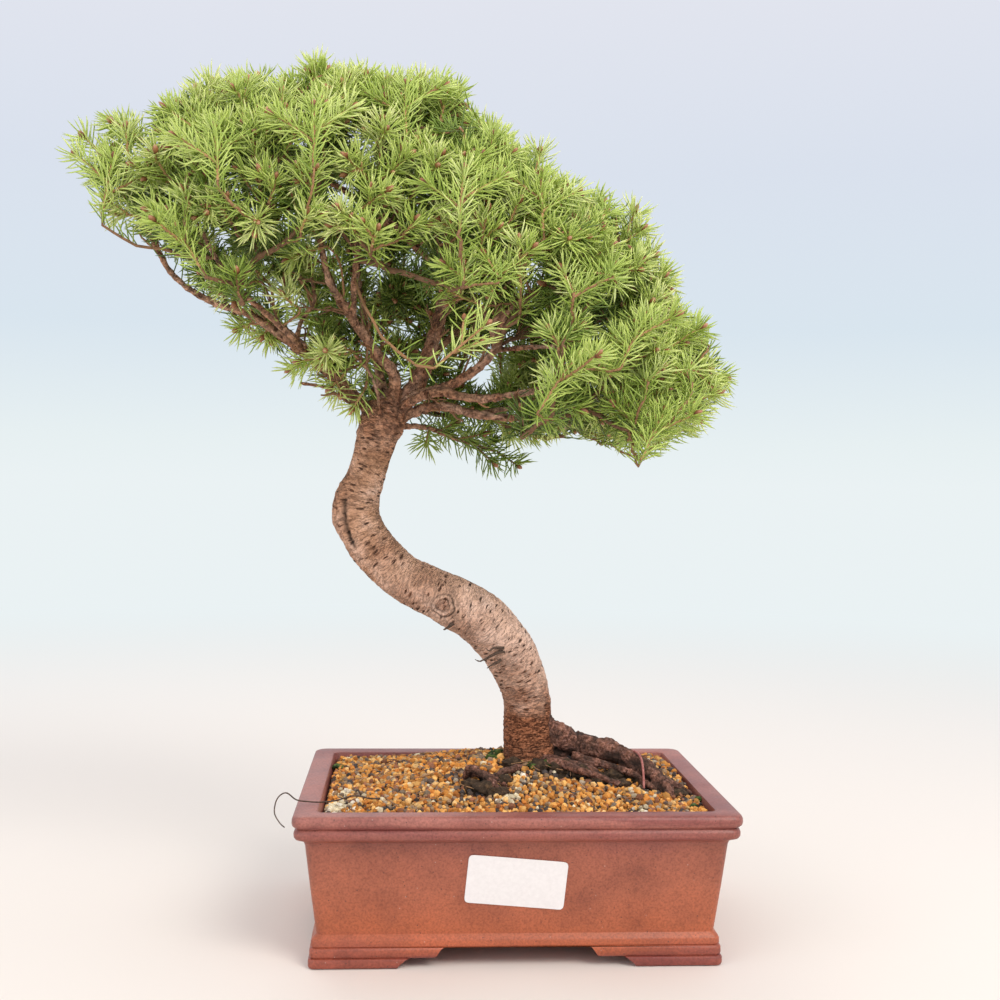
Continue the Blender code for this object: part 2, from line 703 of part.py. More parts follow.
def build_soil(finish, holes):
    """The block of soil, its top raised in grains, with a hole for each root and the trunk."""
    rng = random.Random(SEED)
    nx, ny = SOIL_CELLS
    points, faces, grains = [], [], []
    side = soil_inset(SOIL_EDGE)
    half_x, half_y = POT_WIDTH / 2 - side, POT_DEPTH / 2 - side
    for j in range(ny + 1):
        for i in range(nx + 1):
            x = half_x * (2 * i / nx - 1)
            y = half_y * (2 * j / ny - 1)
            inner = 0 < i < nx and 0 < j < ny
            if inner:
                x += rng.uniform(-1.1, 1.1)
                y += rng.uniform(-1.1, 1.1)
            if i in (0, nx) and j in (0, ny):
                x -= math.copysign(1.8, x)
                y -= math.copysign(1.8, y)
            level = min(soil_height(x, y), 200 if inner else SOIL_EDGE + 1.5)
            points.append(Vector((x, y, level - (rng.uniform(0, 0.8) if inner else 1.0))))
    for j in range(ny):
        for i in range(nx):
            a = j * (nx + 1) + i
            faces.append((a, a + 1, a + nx + 2, a + nx + 1))
    grains = list(range(len(faces)))
    rim = [i for i in range(nx + 1)]
    rim += [j * (nx + 1) + nx for j in range(1, ny + 1)]
    rim += [ny * (nx + 1) + i for i in range(nx - 1, -1, -1)]
    rim += [j * (nx + 1) for j in range(ny - 1, 0, -1)]
    low = len(points)
    shrink_x = (POT_WIDTH / 2 - soil_inset(FLOOR_TOP)) / half_x
    shrink_y = (POT_DEPTH / 2 - soil_inset(FLOOR_TOP)) / half_y
    corners = [0, nx, nx + ny, 2 * nx + ny]
    bottom = []
    for c in corners:
        p = points[rim[c]]
        bottom.append(low + len(bottom))
        points.append(Vector((p.x * shrink_x, p.y * shrink_y, FLOOR_TOP + MESH_THICKNESS + 2 * CLEARANCE)))
    for n, c in enumerate(corners):
        stretch = rim[c:(corners + [len(rim)])[n + 1] + 1] + ([rim[0]] if n == 3 else [])
        for a, b in zip(stretch, stretch[1:]):
            faces.append((b, a, bottom[n]))
        faces.append((stretch[-1], bottom[n], bottom[(n + 1) % 4]))
    faces.append(tuple(reversed(bottom)))
    soil = mesh_object("soil", points, faces, finish)
    work = bmesh.new()
    work.from_mesh(soil.data)
    work.faces.ensure_lookup_table()
    tops = [work.faces[k] for k in grains]
    made = bmesh.ops.poke(work, faces=tops)
    for vertex in made["verts"]:
        vertex.co.z += rng.uniform(*GRAIN_HEIGHT)
    bmesh.ops.recalc_face_normals(work, faces=work.faces)
    bmesh.ops.triangulate(work, faces=work.faces)
    work.to_mesh(soil.data)
    work.free()
    combine(soil, holes, "DIFFERENCE", "EXACT")
    return soil


def root_tube(name, slack):
    points, first, last = ROOTS[name]
    count = 4 if name.startswith("buried") else 6
    path = spline(points, count)
    path[0] = path[0] + (path[0] - path[1]).normalized() * slack
    path[-1] = path[-1] + (path[-1] - path[-2]).normalized() * slack
    sides = 7 if first > 6 else 5
    return tube(name, path, tapered(first + slack, last + slack, count), sides)


def root_holes():
    """Cutters for the soil: the trunk's foot and each root, a little larger all round."""
    slack = 0.55
    feet = [(Vector(p), r + slack) for p, r in TRUNK if p[2] < 125]
    feet[0] = (feet[0][0] + (feet[0][0] - feet[1][0]).normalized() * slack, feet[0][1])
    body = tube("trunk_hole", [p for p, _ in feet], [r for _, r in feet], 10)
    combine(body, [root_tube(name, slack) for name in ROOTS], "UNION", "EXACT")
    return [body]


def build_drain_meshes(finish):
    """A square of plastic netting over each drain hole."""
    size = MESH_HOLES * MESH_PITCH + MESH_BAR
    for name, side in (("drain_mesh_left", -1), ("drain_mesh_right", 1)):
        edges = [0.0]
        for _ in range(MESH_HOLES):
            edges += [edges[-1] + MESH_BAR, edges[-1] + MESH_PITCH]
        edges.append(edges[-1] + MESH_BAR)
        edges = [e - size / 2 for e in edges]
        count = len(edges)
        work = bmesh.new()
        grid = [[work.verts.new((side * DRAIN_X + x, y, FLOOR_TOP + CLEARANCE)) for x in edges] for y in edges]
        for j in range(count - 1):
            for i in range(count - 1):
                if i % 2 and j % 2:
                    continue
                work.faces.new((grid[j][i], grid[j][i + 1], grid[j + 1][i + 1], grid[j + 1][i]))
        made = bmesh.ops.extrude_face_region(work, geom=work.faces[:])
        for item in made["geom"]:
            if isinstance(item, bmesh.types.BMVert):
                item.co.z += MESH_THICKNESS
        bmesh.ops.dissolve_limit(work, angle_limit=0.01, verts=work.verts, edges=work.edges)
        bmesh.ops.recalc_face_normals(work, faces=work.faces)
        mesh = bpy.data.meshes.new(name)
        work.to_mesh(mesh)
        work.free()
        mesh.materials.append(finish)
        bpy.context.scene.collection.objects.link(bpy.data.objects.new(name, mesh))


def front_wall(z):
    """The front wall's y at a height, and the wall's lean."""
    low, high = POT_OUTSIDE[11], POT_OUTSIDE[12]
    share = (z - low[2]) / (high[2] - low[2])
    inset = low[0] + (high[0] - low[0]) * share
    return -(POT_DEPTH / 2 - inset), math.atan2(low[0] - high[0], high[2] - low[2])


def build_label(finish):
    """A blank paper label with round corners, flat on the leaning front wall."""
    width, height = LABEL_SIZE
    radius = 2.0
    outline = []
    for quarter, (sx, sz) in enumerate(((1, 1), (-1, 1), (-1, -1), (1, -1))):
        for k in range(CORNER_SEGMENTS + 1):
            a = math.radians(90 * (quarter + k / CORNER_SEGMENTS))
            outline.append(Vector((sx * (width / 2 - radius) + radius * math.cos(a), 0,
                                   sz * (height / 2 - radius) + radius * math.sin(a))))
    x, z = LABEL_CENTRE
    y, lean = front_wall(z)
    turn = Matrix.Rotation(lean, 3, "X") @ Matrix.Rotation(math.radians(-LABEL_TILT), 3, "Y")
    out = turn @ Vector((0, -1, 0))
    centre = Vector((x, y, z)) + out * CLEARANCE
    count = len(outline)
    points = [centre + turn @ p for p in outline]
    points += [p + out * LABEL_THICKNESS for p in points]
    faces = [tuple(range(count)), tuple(reversed(range(count, 2 * count)))]
    faces += [(k, k + count, (k + 1) % count + count, (k + 1) % count) for k in range(count)]
    face_outwards(mesh_object("label", points, faces, finish))


ROOTLET = ((-70, -56, 79.6), (-75, -60, 80.6), (-83, -61, 82.2), (-92, -62, 80.0), (-100, -61, 79.0),
           (-106, -59, 78.8), (-112, -60, 80.0), (-117, -62, 84.0), (-121, -66, 82.0), (-122, -70, 76.0),
           (-119, -73, 71.5), (-116.5, -74, 69.5))


def build_rootlet(finish):
    """A fine loose root that lies over the rim's left side."""
    path = spline(ROOTLET, 22)
    tube("loose_rootlet", path, tapered(0.55, 0.35, 22), 4, finish)


def place():
    """Millimetres to metres, with the origin under the middle of the whole object."""
    low, high = Vector((1e9,) * 3), Vector((-1e9,) * 3)
    for obj in bpy.data.objects:
        for corner in obj.bound_box:
            low = Vector(map(min, low, corner))
            high = Vector(map(max, high, corner))
    middle = (low + high) / 2
    shift = Matrix.Translation((-middle.x, -middle.y, -low.z))
    for obj in bpy.data.objects:
        obj.data.transform(Matrix.Scale(METRE, 4) @ shift)
        obj.data.update()


def main():
    clear_scene()
    clay = material("brown_clay", (0.30, 0.105, 0.065), 0.62)
    bark = material("spruce_bark", (0.36, 0.20, 0.12), 0.85)
    green = material("spruce_needles", (0.22, 0.38, 0.07), 0.5)
    grit = material("soil_grains", (0.52, 0.30, 0.10), 0.95)
    net = material("black_netting", (0.03, 0.03, 0.03), 0.5)
    paper = material("white_paper", (0.88, 0.88, 0.88), 0.6)
    root = material("dry_root", (0.12, 0.08, 0.06), 0.9)
    sprays, solids = plan_sprays()
    grow_needles(sprays, solids)
    build_sprays(sprays, green)
    build_wood(sprays, bark)
    build_pot(clay)
    build_soil(grit, root_holes())
    build_drain_meshes(net)
    build_label(paper)
    build_rootlet(root)
    place()


main()
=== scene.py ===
"""Looks of the spruce bonsai: needles, bark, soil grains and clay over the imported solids.

Everything is laid out in millimetres round the middle of the pot, as in the solids, and
put_in_place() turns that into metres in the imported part's frame.
"""

import math
import random

import bmesh
import bpy
import numpy as np
from mathutils import Matrix, Vector, noise


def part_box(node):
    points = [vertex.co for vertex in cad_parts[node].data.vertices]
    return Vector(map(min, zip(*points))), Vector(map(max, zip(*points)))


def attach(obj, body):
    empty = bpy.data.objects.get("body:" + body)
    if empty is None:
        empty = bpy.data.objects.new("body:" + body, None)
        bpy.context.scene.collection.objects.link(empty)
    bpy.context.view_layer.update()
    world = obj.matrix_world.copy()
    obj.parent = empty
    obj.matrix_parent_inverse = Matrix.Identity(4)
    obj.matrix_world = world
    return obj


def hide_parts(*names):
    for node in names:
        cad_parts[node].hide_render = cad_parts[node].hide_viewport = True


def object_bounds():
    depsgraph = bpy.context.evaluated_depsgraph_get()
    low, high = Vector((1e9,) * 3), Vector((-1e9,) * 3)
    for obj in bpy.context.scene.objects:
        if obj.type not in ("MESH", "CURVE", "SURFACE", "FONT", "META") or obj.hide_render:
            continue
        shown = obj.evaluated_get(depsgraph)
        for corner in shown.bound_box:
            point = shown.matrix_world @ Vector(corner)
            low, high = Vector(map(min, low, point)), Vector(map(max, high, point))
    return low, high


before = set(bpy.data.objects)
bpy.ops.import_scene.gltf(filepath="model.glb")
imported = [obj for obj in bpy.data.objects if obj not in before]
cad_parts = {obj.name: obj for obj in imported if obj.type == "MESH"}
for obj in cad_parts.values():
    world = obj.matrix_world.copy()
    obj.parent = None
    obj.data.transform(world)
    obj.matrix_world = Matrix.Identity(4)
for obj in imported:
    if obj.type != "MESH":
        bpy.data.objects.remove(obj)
CAD_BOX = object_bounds()
POT_LOW, POT_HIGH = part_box("pot")
SHIFT = ((POT_LOW[0] + POT_HIGH[0]) / 2, (POT_LOW[1] + POT_HIGH[1]) / 2, 0)

SEED = 7
noise.seed_set(SEED)
UP = Vector((0, 0, 1))
METRE = 0.001
CLEARANCE = 0.3  # between pieces that touch

# Pot, outside of the rim
POT_WIDTH = 225.0
POT_DEPTH = 175.0
POT_HEIGHT = 77.5
RIM_WIDTH = 12.3
FOOT_HEIGHT = 10.0
FLOOR_BOTTOM = 10.6
FLOOR_TOP = 17.5
FOOT_INSET = 8.3
FOOT_DEPTH = 17.0
FOOT_LENGTH = 44.0
TIER_HEIGHT = 4.9
DRAIN_X = 50.0
DRAIN_RADIUS = 7.5

# Label on the front wall
LABEL_SIZE = (50.0, 25.0)
LABEL_CENTRE = (-1.0, 43.0)
LABEL_TILT = -5.0

# Soil: a level edge and a mound round the trunk
SOIL_EDGE = 73.0
SOIL_MOUND = 14.0
SOIL_SPREAD = (78.0, 62.0)

# Trunk: points and radii, from the root crown to the crotch
TRUNK = (
    ((12, 16, 62), 10.0), ((13, 15, 76), 15.5), ((13, 15, 87), 15.2), ((12, 15, 97), 13.9),
    ((11, 14, 119), 13.2), ((7, 12, 134), 13.9), ((-3, 9, 152), 14.6), ((-15, 7, 165), 14.9),
    ((-29, 5, 174), 14.6), ((-46, 5, 182), 13.2), ((-61, 6, 190), 12.6), ((-75, 8, 203), 12.2),
    ((-84, 10, 218), 12.4), ((-85.5, 12, 230), 12.2), ((-82, 12, 243), 10.8),
    ((-78, 12, 256), 10.3), ((-75, 12, 267), 11.2), ((-72, 12, 277), 12.4), ((-69, 12, 286), 8.5),
)
BASE = Vector((13, 15, 0))
CROTCH = Vector((-72, 12, 278))

# Main limbs: points, first and last radius, and whether twigs grow from them
LIMBS = {
    "front_left": ([(-69, 11, 279), (-66, 6, 294), (-67, 1, 304), (-78, -8, 315), (-87, -16, 327),
                    (-94, -22, 339), (-101, -28, 349), (-105, -34, 369)], 4.2, 1.9, True),
    "front_rise": ([(-88, -17, 329), (-88, -25, 341), (-86, -36, 356), (-82, -50, 376),
                    (-78, -58, 396)], 2.2, 1.5, True),
    "leader": ([(-70, 12, 277), (-60, 12, 288), (-52, 12, 300), (-47, 14, 316), (-42, 16, 330),
                (-38, 19, 350), (-36, 18, 378), (-46, 14, 404), (-62, 9, 428)], 6.0, 1.5, True),
    "leader_right": ([(-40, 17, 340), (-26, 18, 356), (-8, 12, 372), (12, 6, 382), (30, 2, 384)],
                     2.6, 1.4, True),
    "leader_left": ([(-37, 19, 358), (-56, 26, 378), (-88, 22, 402), (-122, 12, 418),
                     (-150, 6, 428)], 2.8, 1.4, True),
    "right_rise": ([(-68, 11, 280), (-58, 8, 287), (-46, 4, 292), (-32, 0, 297), (-21, -6, 304),
                    (-11, -12, 314), (-10, -18, 325), (-4, -26, 335), (4, -33, 341),
                    (18, -44, 351)], 4.0, 1.5, True),
    "right_stub": ([(-11, -12, 314), (-13, -17, 324), (-19, -21, 336), (-26, -24, 345)], 2.2, 1.5, False),
    "right_spur": ([(-14, -18, 327), (-10, -21, 333), (-7, -23, 340)], 1.5, 1.2, False),
    "right_dead": ([(-11, -13, 314), (-2, -19, 315), (10, -24, 315), (31, -33, 316)], 1.9, 1.5, False),
    "right_front": ([(-66, 10, 282), (-54, 6, 291), (-39, 0, 291), (-22, -8, 288), (-8, -15, 288),
                     (5, -21, 291), (24, -29, 295), (50, -37, 300), (74, -42, 306)], 3.4, 1.4, True),
    "right_low": ([(-68, 13, 275), (-56, 15, 281), (-44, 20, 285), (-32, 24, 282), (-15, 28, 281),
                   (2, 30, 279), (30, 30, 283), (62, 24, 288), (88, 14, 294)], 3.6, 1.4, True),
    "right_back": ([(-20, 27, 281), (-4, 40, 284), (18, 52, 292), (44, 60, 302), (62, 58, 312)],
                   2.3, 1.4, True),
    "droop": ([(-70, 15, 272), (-60, 22, 275), (-45, 40, 273), (-30, 55, 268), (-16, 65, 263),
               (-4, 71, 261)], 2.4, 1.3, False),
    "back": ([(-70, 14, 277), (-72, 30, 296), (-80, 52, 322), (-88, 68, 352), (-90, 70, 384)],
             3.6, 1.4, True),
    "back_right": ([(-50, 13, 305), (-38, 34, 322), (-18, 54, 342), (4, 64, 362), (16, 62, 380)],
                   2.6, 1.4, True),
    "left_low": ([(-74, 11, 276), (-84, 9, 285), (-96, 4, 297), (-112, -2, 309), (-124, -8, 318),
                  (-136, -10, 326), (-150, -12, 334), (-168, -12, 339), (-180, -12, 347),
                  (-191, -10, 359), (-198, -8, 374), (-208, -5, 390)], 3.8, 1.4, True),
    "left_front": ([(-108, -1, 306), (-120, -22, 318), (-140, -42, 336), (-160, -54, 356),
                    (-168, -56, 376)], 2.3, 1.4, True),
    "left_back": ([(-92, 6, 294), (-112, 26, 314), (-140, 44, 338), (-168, 50, 362),
                   (-186, 44, 384)], 2.8, 1.4, True),
    "left_inner": ([(-120, -6, 315), (-117, -4, 328), (-110, -2, 340), (-112, 0, 354)], 1.9, 1.3, False),
    "left_twig": ([(-76, 6, 280), (-88, 2, 284), (-98, -2, 290), (-110, -6, 296), (-117, -8, 295)],
                  1.6, 1.0, False),
    "dead_twig": ([(-73, 2, 277), (-75, -4, 290), (-78, -7, 300), (-88, -10, 311)], 1.1, 0.8, False),
}

# Roots: over the soil to the right, a small arch at the front, and others below the soil
ROOTS = {
    "ridge": ([(16, 15, 84), (28, 15, 92), (38, 14, 94), (52, 6, 93), (66, -4, 90), (76, -16, 85),
               (84, -30, 78), (88, -40, 68)], 8.5, 3.2),
    "ridge_fork": ([(60, 0, 91), (70, -10, 84), (72, -18, 76), (73, -26, 66)], 4.2, 2.2),
    "knuckle": ([(16, 8, 80), (24, -2, 86), (36, -10, 86), (48, -15, 82), (60, -20, 74)], 5.5, 2.4),
    "arch": ([(6, 6, 62), (-6, -6, 66), (-24, -18, 76), (-24, -24, 87), (-17, -30, 88),
              (-8, -40, 80), (-4, -48, 68)], 3.4, 1.6),
    "buried_left": ([(10, 16, 64), (-14, 20, 56), (-44, 24, 46), (-70, 20, 36)], 6.0, 1.6),
    "buried_back": ([(12, 18, 64), (16, 34, 54), (30, 50, 42), (52, 58, 32)], 5.5, 1.6),
    "buried_right": ([(14, 15, 62), (38, 22, 50), (62, 28, 38), (82, 30, 28)], 5.0, 1.6),
}

# Crown: outer surface at the needle tips, as knots (x, top z, rim z, half depth)
CROWN = (
    (-236, 441, 434, 8), (-212, 452, 412, 42), (-176, 468, 382, 70), (-140, 478, 364, 88),
    (-100, 484, 352, 98), (-55, 480, 343, 100), (-12, 458, 332, 98), (30, 422, 314, 92),
    (65, 396, 294, 80), (90, 362, 281, 62), (108, 324, 283, 40), (117, 306, 298, 12),
)
SPRAY_COUNT = 38
OPEN_FRONT = (-165, -28)  # where the front shows the branches, below OPEN_TURN
OPEN_TURN = -60
TWIG_RADIUS = (2.0, 1.2)
LEADER_LENGTH = 34.0
SIDE_LENGTH = 24.0
SIDE_ANGLE = 54.0
TIP_REACH = 8.0
# Sprays that the dome's rule doesn't give: needle tip and direction
EXTRA_SPRAYS = (
    ((34, 78, 256), (0.93, 0.18, -0.10)), ((38, -76, 368), (0.84, -0.50, 0.22)),
    ((-242, -6, 446), (-0.84, 0.0, 0.54)), ((118, 2, 300), (0.97, -0.05, 0.12)),
    ((-134, -28, 292), (-0.85, -0.45, -0.20)),
)
CORE_RADIUS = 0.8
CROWN_MIDDLE = Vector((-60, 0, 372))


# Paths and tubes


def rows_of(points):
    """The points as rows of an array."""
    return np.array([tuple(p) for p in points])


def cumulative(path):
    """The length along the path up to each of its points."""
    return np.cumsum([0] + [(q - p).length for p, q in zip(path, path[1:])])


def shaken(dice, amount=1.0):
    """A random vector, each of its parts within the amount."""
    return Vector([dice.uniform(-amount, amount) for _ in range(3)])


def spline(points, count):
    """count points along a Catmull-Rom curve through the given ones, evenly by length."""
    knots = [Vector(p) for p in points]
    knots = [2 * knots[0] - knots[1], *knots, 2 * knots[-1] - knots[-2]]
    fine = []
    steps = 12
    for a, b, c, d in zip(knots, knots[1:], knots[2:], knots[3:]):
        for i in range(steps):
            t = i / steps
            fine.append(0.5 * (2 * b + (c - a) * t + (2 * a - 5 * b + 4 * c - d) * t * t
                               + (3 * b - a - 3 * c + d) * t ** 3))
    fine.append(knots[-2])
    lengths = cumulative(fine)
    wanted = np.linspace(0, lengths[-1], count)
    axes = [np.interp(wanted, lengths, [p[k] for p in fine]) for k in range(3)]
    return [Vector(p) for p in zip(*axes)]


def frames(path):
    """The direction and a side vector at each point, carried along the path without twist."""
    ends = [path[0], *path, path[-1]]
    along = [(c - a).normalized() for a, c in zip(ends, ends[2:])]
    side = along[0].orthogonal().normalized()
    sides = []
    for t in along:
        side = (side - t * side.dot(t)).normalized()
        sides.append(side)
    return along, sides


def sideways(way, angle):
    """A direction square to way, turned round it by the angle."""
    return Matrix.Rotation(angle, 3, way) @ way.orthogonal().normalized()


# Clearances


class Solids:
    """Capsules that stand for wood, spray cores and needles, for measuring clearances."""

    def __init__(self):
        self.start = np.zeros((0, 3))
        self.end = np.zeros((0, 3))
        self.first = np.zeros(0)
        self.last = np.zeros(0)
        self.owner = np.zeros(0, int)

    def add(self, path, first, last, owner):
        count = len(path) - 1
        radii = np.linspace(first, last, count + 1)
        points = rows_of(path)
        self.start = np.vstack([self.start, points[:-1]])
        self.end = np.vstack([self.end, points[1:]])
        self.first = np.append(self.first, radii[:-1])
        self.last = np.append(self.last, radii[1:])
        self.owner = np.append(self.owner, np.full(count, owner))

    def room(self, start, end, first, last, skip=()):
        """The least gap from one capsule to all the others, apart from skipped owners."""
        p, q = rows_of((start, end))
        reach = np.linalg.norm(self.end - self.start, axis=1) / 2 + np.linalg.norm(q - p) / 2 + 20
        near = np.linalg.norm((self.start + self.end - p - q) / 2, axis=1) < reach
        near &= ~np.isin(self.owner, list(skip))
        if not near.any():
            return math.inf
        a, b = self.start[near], self.end[near]
        u, v, w = q - p, b - a, p - a
        uu, uv, vv = u @ u, v @ u, np.maximum((v * v).sum(1), 1e-9)
        wu, wv = w @ u, (w * v).sum(1)
        slack = np.maximum(uu * vv - uv * uv, 1e-9)
        s = np.clip((uv * wv - vv * wu) / slack, 0, 1)
        t = np.clip((uv * s + wv) / vv, 0, 1)
        s = np.clip((uv * t - wu) / uu, 0, 1)
        apart = np.linalg.norm(w + s[:, None] * u - t[:, None] * v, axis=1)
        others = self.first[near] * (1 - t) + self.last[near] * t
        return float((apart - others - first * (1 - s) - last * s).min())


# Crown plan


def crown_point(x, turn):
    """A point of the crown's outer surface; turn is 0 at the top, -90 at the front rim."""
    xs, *columns = zip(*CROWN)
    top, rim, depth = (float(np.interp(x, xs, values)) for values in columns)
    a = math.radians(turn)
    return Vector((x, depth * math.sin(a), rim + (top - rim) * math.cos(a)))


def crown_normal(x, turn):
    step = 2.0
    along = crown_point(x + step, turn) - crown_point(x - step, turn)
    round_ = crown_point(x, turn + step) - crown_point(x, turn - step)
    return along.cross(round_).normalized() * -1


def even_spread(places, taken, count):
    """Indices of places, each as far as it can be from the taken points and the earlier ones."""
    apart = np.full(len(places), np.inf)
    for point in taken:
        apart = np.minimum(apart, np.linalg.norm(places - point, axis=1))
    chosen = []
    for _ in range(count):
        k = int(apart.argmax())
        chosen.append(k)
        apart = np.minimum(apart, np.linalg.norm(places - places[k], axis=1))
    return chosen


def spray_tips():
    """Needle tip and direction of each spray: the extra ones, then an even spread over the dome."""
    tips = [(Vector(tip), Vector(way).normalized()) for tip, way in EXTRA_SPRAYS]
    low, high = CROWN[0][0], CROWN[-1][0]
    places = []
    for i in range(round((high - low) / 5) + 1):
        x = low + 5 * i
        for turn in range(-92, 93, 4):
            if turn < OPEN_TURN and OPEN_FRONT[0] < x < OPEN_FRONT[1]:
                continue
            places.append((crown_point(x, turn), x, turn))
    points = rows_of(p for p, _, _ in places)
    for k in even_spread(points, [np.array(tip) for tip, _ in tips], SPRAY_COUNT):
        tip, x, turn = places[k]
        away = (tip - CROTCH).normalized()
        way = (0.55 * crown_normal(x, turn) + 0.55 * away + 0.25 * UP).normalized()
        tips.append((tip, way))
    return sorted(tips, key=lambda item: (item[0] - CROTCH).length)


def limb_path(points):
    return spline(points, max(4, round(len(points) * 0.75)))


def limb_nodes():
    """Points on the main limbs where a twig may start: place, direction and radius."""
    nodes = []
    for name, (points, first, last, grows) in LIMBS.items():
        path = limb_path(points)
        lengths = cumulative(path)
        for p, q, gone in zip(path, path[1:], lengths):
            way = (q - p).normalized()
            for share in (0, 0.33, 0.67, 0.94):
                along = float(gone + share * (q - p).length) / lengths[-1]
                if grows and along > 0.3 or name == "droop" and along > 0.97:
                    nodes.append((p.lerp(q, share), way, float(first + (last - first) * along)))
    return nodes


def twig_path(start, along, end, way):
    """A bent twig from a limb to a spray, its last bit straight in the spray's direction."""
    foot = end - way * 4
    reach = (foot - start).length
    lean = (along + (foot - start).normalized()).normalized()
    middle = (start + foot) / 2 + (lean - way) * reach * 0.135
    return [start, middle, foot, end] if reach > 22 else [start, foot, end]


def sharpest_bend(path):
    """The cosine of the path's sharpest turn."""
    legs = [(q - p).normalized() for p, q in zip(path, path[1:])]
    return min(a.dot(b) for a, b in zip(legs, legs[1:]))


def twig_cost(node, base, way, shortest, ahead, penalty):
    """How badly a twig from a node would reach base: long, sharply turned, too short or from behind."""
    to = base - node[0]
    length = max(to.length, 1e-6)
    turn = 2 - to.dot(node[1]) / length - to.dot(way) / length
    awkward = length < shortest or to.dot(way) < ahead * length
    return length * (1 + 0.5 * turn) + (penalty if awkward else 0)


def plan_sprays():
    """The whole crown: each spray's twig of wood and its green shoots, clear of the others."""
    rng = random.Random(SEED)
    solids = Solids()
    for points, first, last, _ in LIMBS.values():
        solids.add(limb_path(points), first, last, -1)
    nodes = limb_nodes()
    sprays = []
    for tip, way in spray_tips():
        best = None
        for attempt in range(24):
            wobble = 0.05 * min(attempt, 8)
            turned = (way + shaken(rng, wobble)).normalized()
            slip = shaken(rng) * min(attempt, 8)
            base = tip + slip - turned * (LEADER_LENGTH + TIP_REACH)
            node = min(nodes, key=lambda node: twig_cost(node, base, turned, 14, 0.35, 50))
            twig = twig_path(node[0], node[1], base, turned)
            end = base + turned * LEADER_LENGTH
            room = solids.room(base + turned * 2, end, CORE_RADIUS, CORE_RADIUS)
            for p, q in zip(twig[1:], twig[2:]):
                room = min(room, solids.room(p, q, 1.5, 1.3, skip=[-1]))
            if sharpest_bend(twig) < 0.4:
                room = -1
            if best is None or room > best[0]:
                best = (room, base, turned, twig, node, end)
            if room > 5:
                break
        room, base, turned, twig, node, end = best
        if room < 2.5:
            continue
        number = len(sprays)
        thick = max(TWIG_RADIUS[1], min(node[2] * 0.9, TWIG_RADIUS[0]))
        nodes = [other for other in nodes if (other[0] - node[0]).length > 9]
        for p, q in zip(twig[:-2], twig[1:-1]):
            nodes += [(p.lerp(q, 0.75), (q - p).normalized(), TWIG_RADIUS[1] * 1.2)]
        solids.add(twig, thick, TWIG_RADIUS[1], -2)
        start = base + turned * CLEARANCE
        solids.add([start, end], CORE_RADIUS, CORE_RADIUS, number)
        sprays.append({"way": turned, "shoots": [(start, end)]})
    for number, spray in enumerate(sprays):
        add_side_shoots(spray, number, solids, rng)
    return sprays


def add_side_shoots(spray, number, solids, rng):
    """Side shoots left and right of the leader, each turned until it is clear of its neighbours."""
    start, end = spray["shoots"][0]
    way = spray["way"]
    flat = way.cross(UP)
    if flat.length < 0.35:
        flat = way.cross(Vector((0, 1, 0)))
    flat.normalize()
    for k, share in enumerate((0.34, 0.52)):
        root = start.lerp(end, share)
        side = flat if k % 2 else -flat
        for attempt in range(10):
            roll = rng.uniform(-1, 1) * (12 + 14 * attempt)
            length = SIDE_LENGTH * (1 - 0.04 * attempt)
            outward = Matrix.Rotation(math.radians(roll), 3, way) @ side
            angle = math.radians(SIDE_ANGLE)
            tip = root + length * (way * math.cos(angle) + outward * math.sin(angle))
            foot = root.lerp(tip, 0.2)
            if solids.room(foot, tip, CORE_RADIUS, CORE_RADIUS, skip=[number]) > 3:
                spray["shoots"].append((root, tip))
                solids.add([root, tip], CORE_RADIUS, CORE_RADIUS, number)
                break



# Making pieces

BAKE_MAP = "OFBake"


def put_in_place(obj, body="root"):
    """Millimetres in the pot's frame to metres in the part's frame."""
    obj.data.transform(Matrix.Translation(SHIFT) @ Matrix.Scale(METRE, 4))
    obj.data.update()
    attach(obj, body)
    return obj


def linked(name, data):
    """A new object in the scene that holds the data."""
    obj = bpy.data.objects.new(name, data)
    bpy.context.scene.collection.objects.link(obj)
    return obj


def mesh_object(name, points, faces, finish=None):
    mesh = bpy.data.meshes.new(name)
    mesh.from_pydata([tuple(p) for p in points], [], [tuple(f) for f in faces])
    if finish:
        mesh.materials.append(finish)
    return linked(name, mesh)


def big_mesh(name, points, quads, tris, finish, quad_uv, tri_uv):
    """A mesh straight from arrays, with the map that its material's colours are read from."""
    mesh = bpy.data.meshes.new(name)
    mesh.vertices.add(len(points))
    mesh.vertices.foreach_set("co", np.ascontiguousarray(points, np.float32).ravel())
    corners = np.concatenate([quads.ravel(), tris.ravel()]).astype(np.int32)
    starts = np.concatenate([4 * np.arange(len(quads)), 4 * len(quads) + 3 * np.arange(len(tris))])
    mesh.loops.add(len(corners))
    mesh.loops.foreach_set("vertex_index", corners)
    mesh.polygons.add(len(starts))
    mesh.polygons.foreach_set("loop_start", starts.astype(np.int32))
    mesh.update(calc_edges=True)
    layer = mesh.uv_layers.new(name=BAKE_MAP)
    flat = np.concatenate([quad_uv.reshape(-1, 2), tri_uv.reshape(-1, 2)])
    layer.data.foreach_set("uv", flat.astype(np.float32).ravel())
    mesh.materials.append(finish)
    mesh.shade_smooth()
    return linked(name, mesh)


def dress(obj, finish):
    """One material and smooth shading for the whole piece."""
    obj.data.materials.clear()
    obj.data.materials.append(finish)
    obj.data.shade_smooth()
    return obj


def join(objects, name, roughness=0):
    """The first object with the meshes of all of them, under a new name."""
    work = bmesh.new()
    for obj in objects:
        work.from_mesh(obj.data)
    if roughness:
        for v in work.verts:
            v.co += noise.noise_vector(v.co * 0.8) * roughness
    work.to_mesh(objects[0].data)
    work.free()
    for obj in objects[1:]:
        bpy.data.objects.remove(obj)
    objects[0].name = name
    return objects[0]


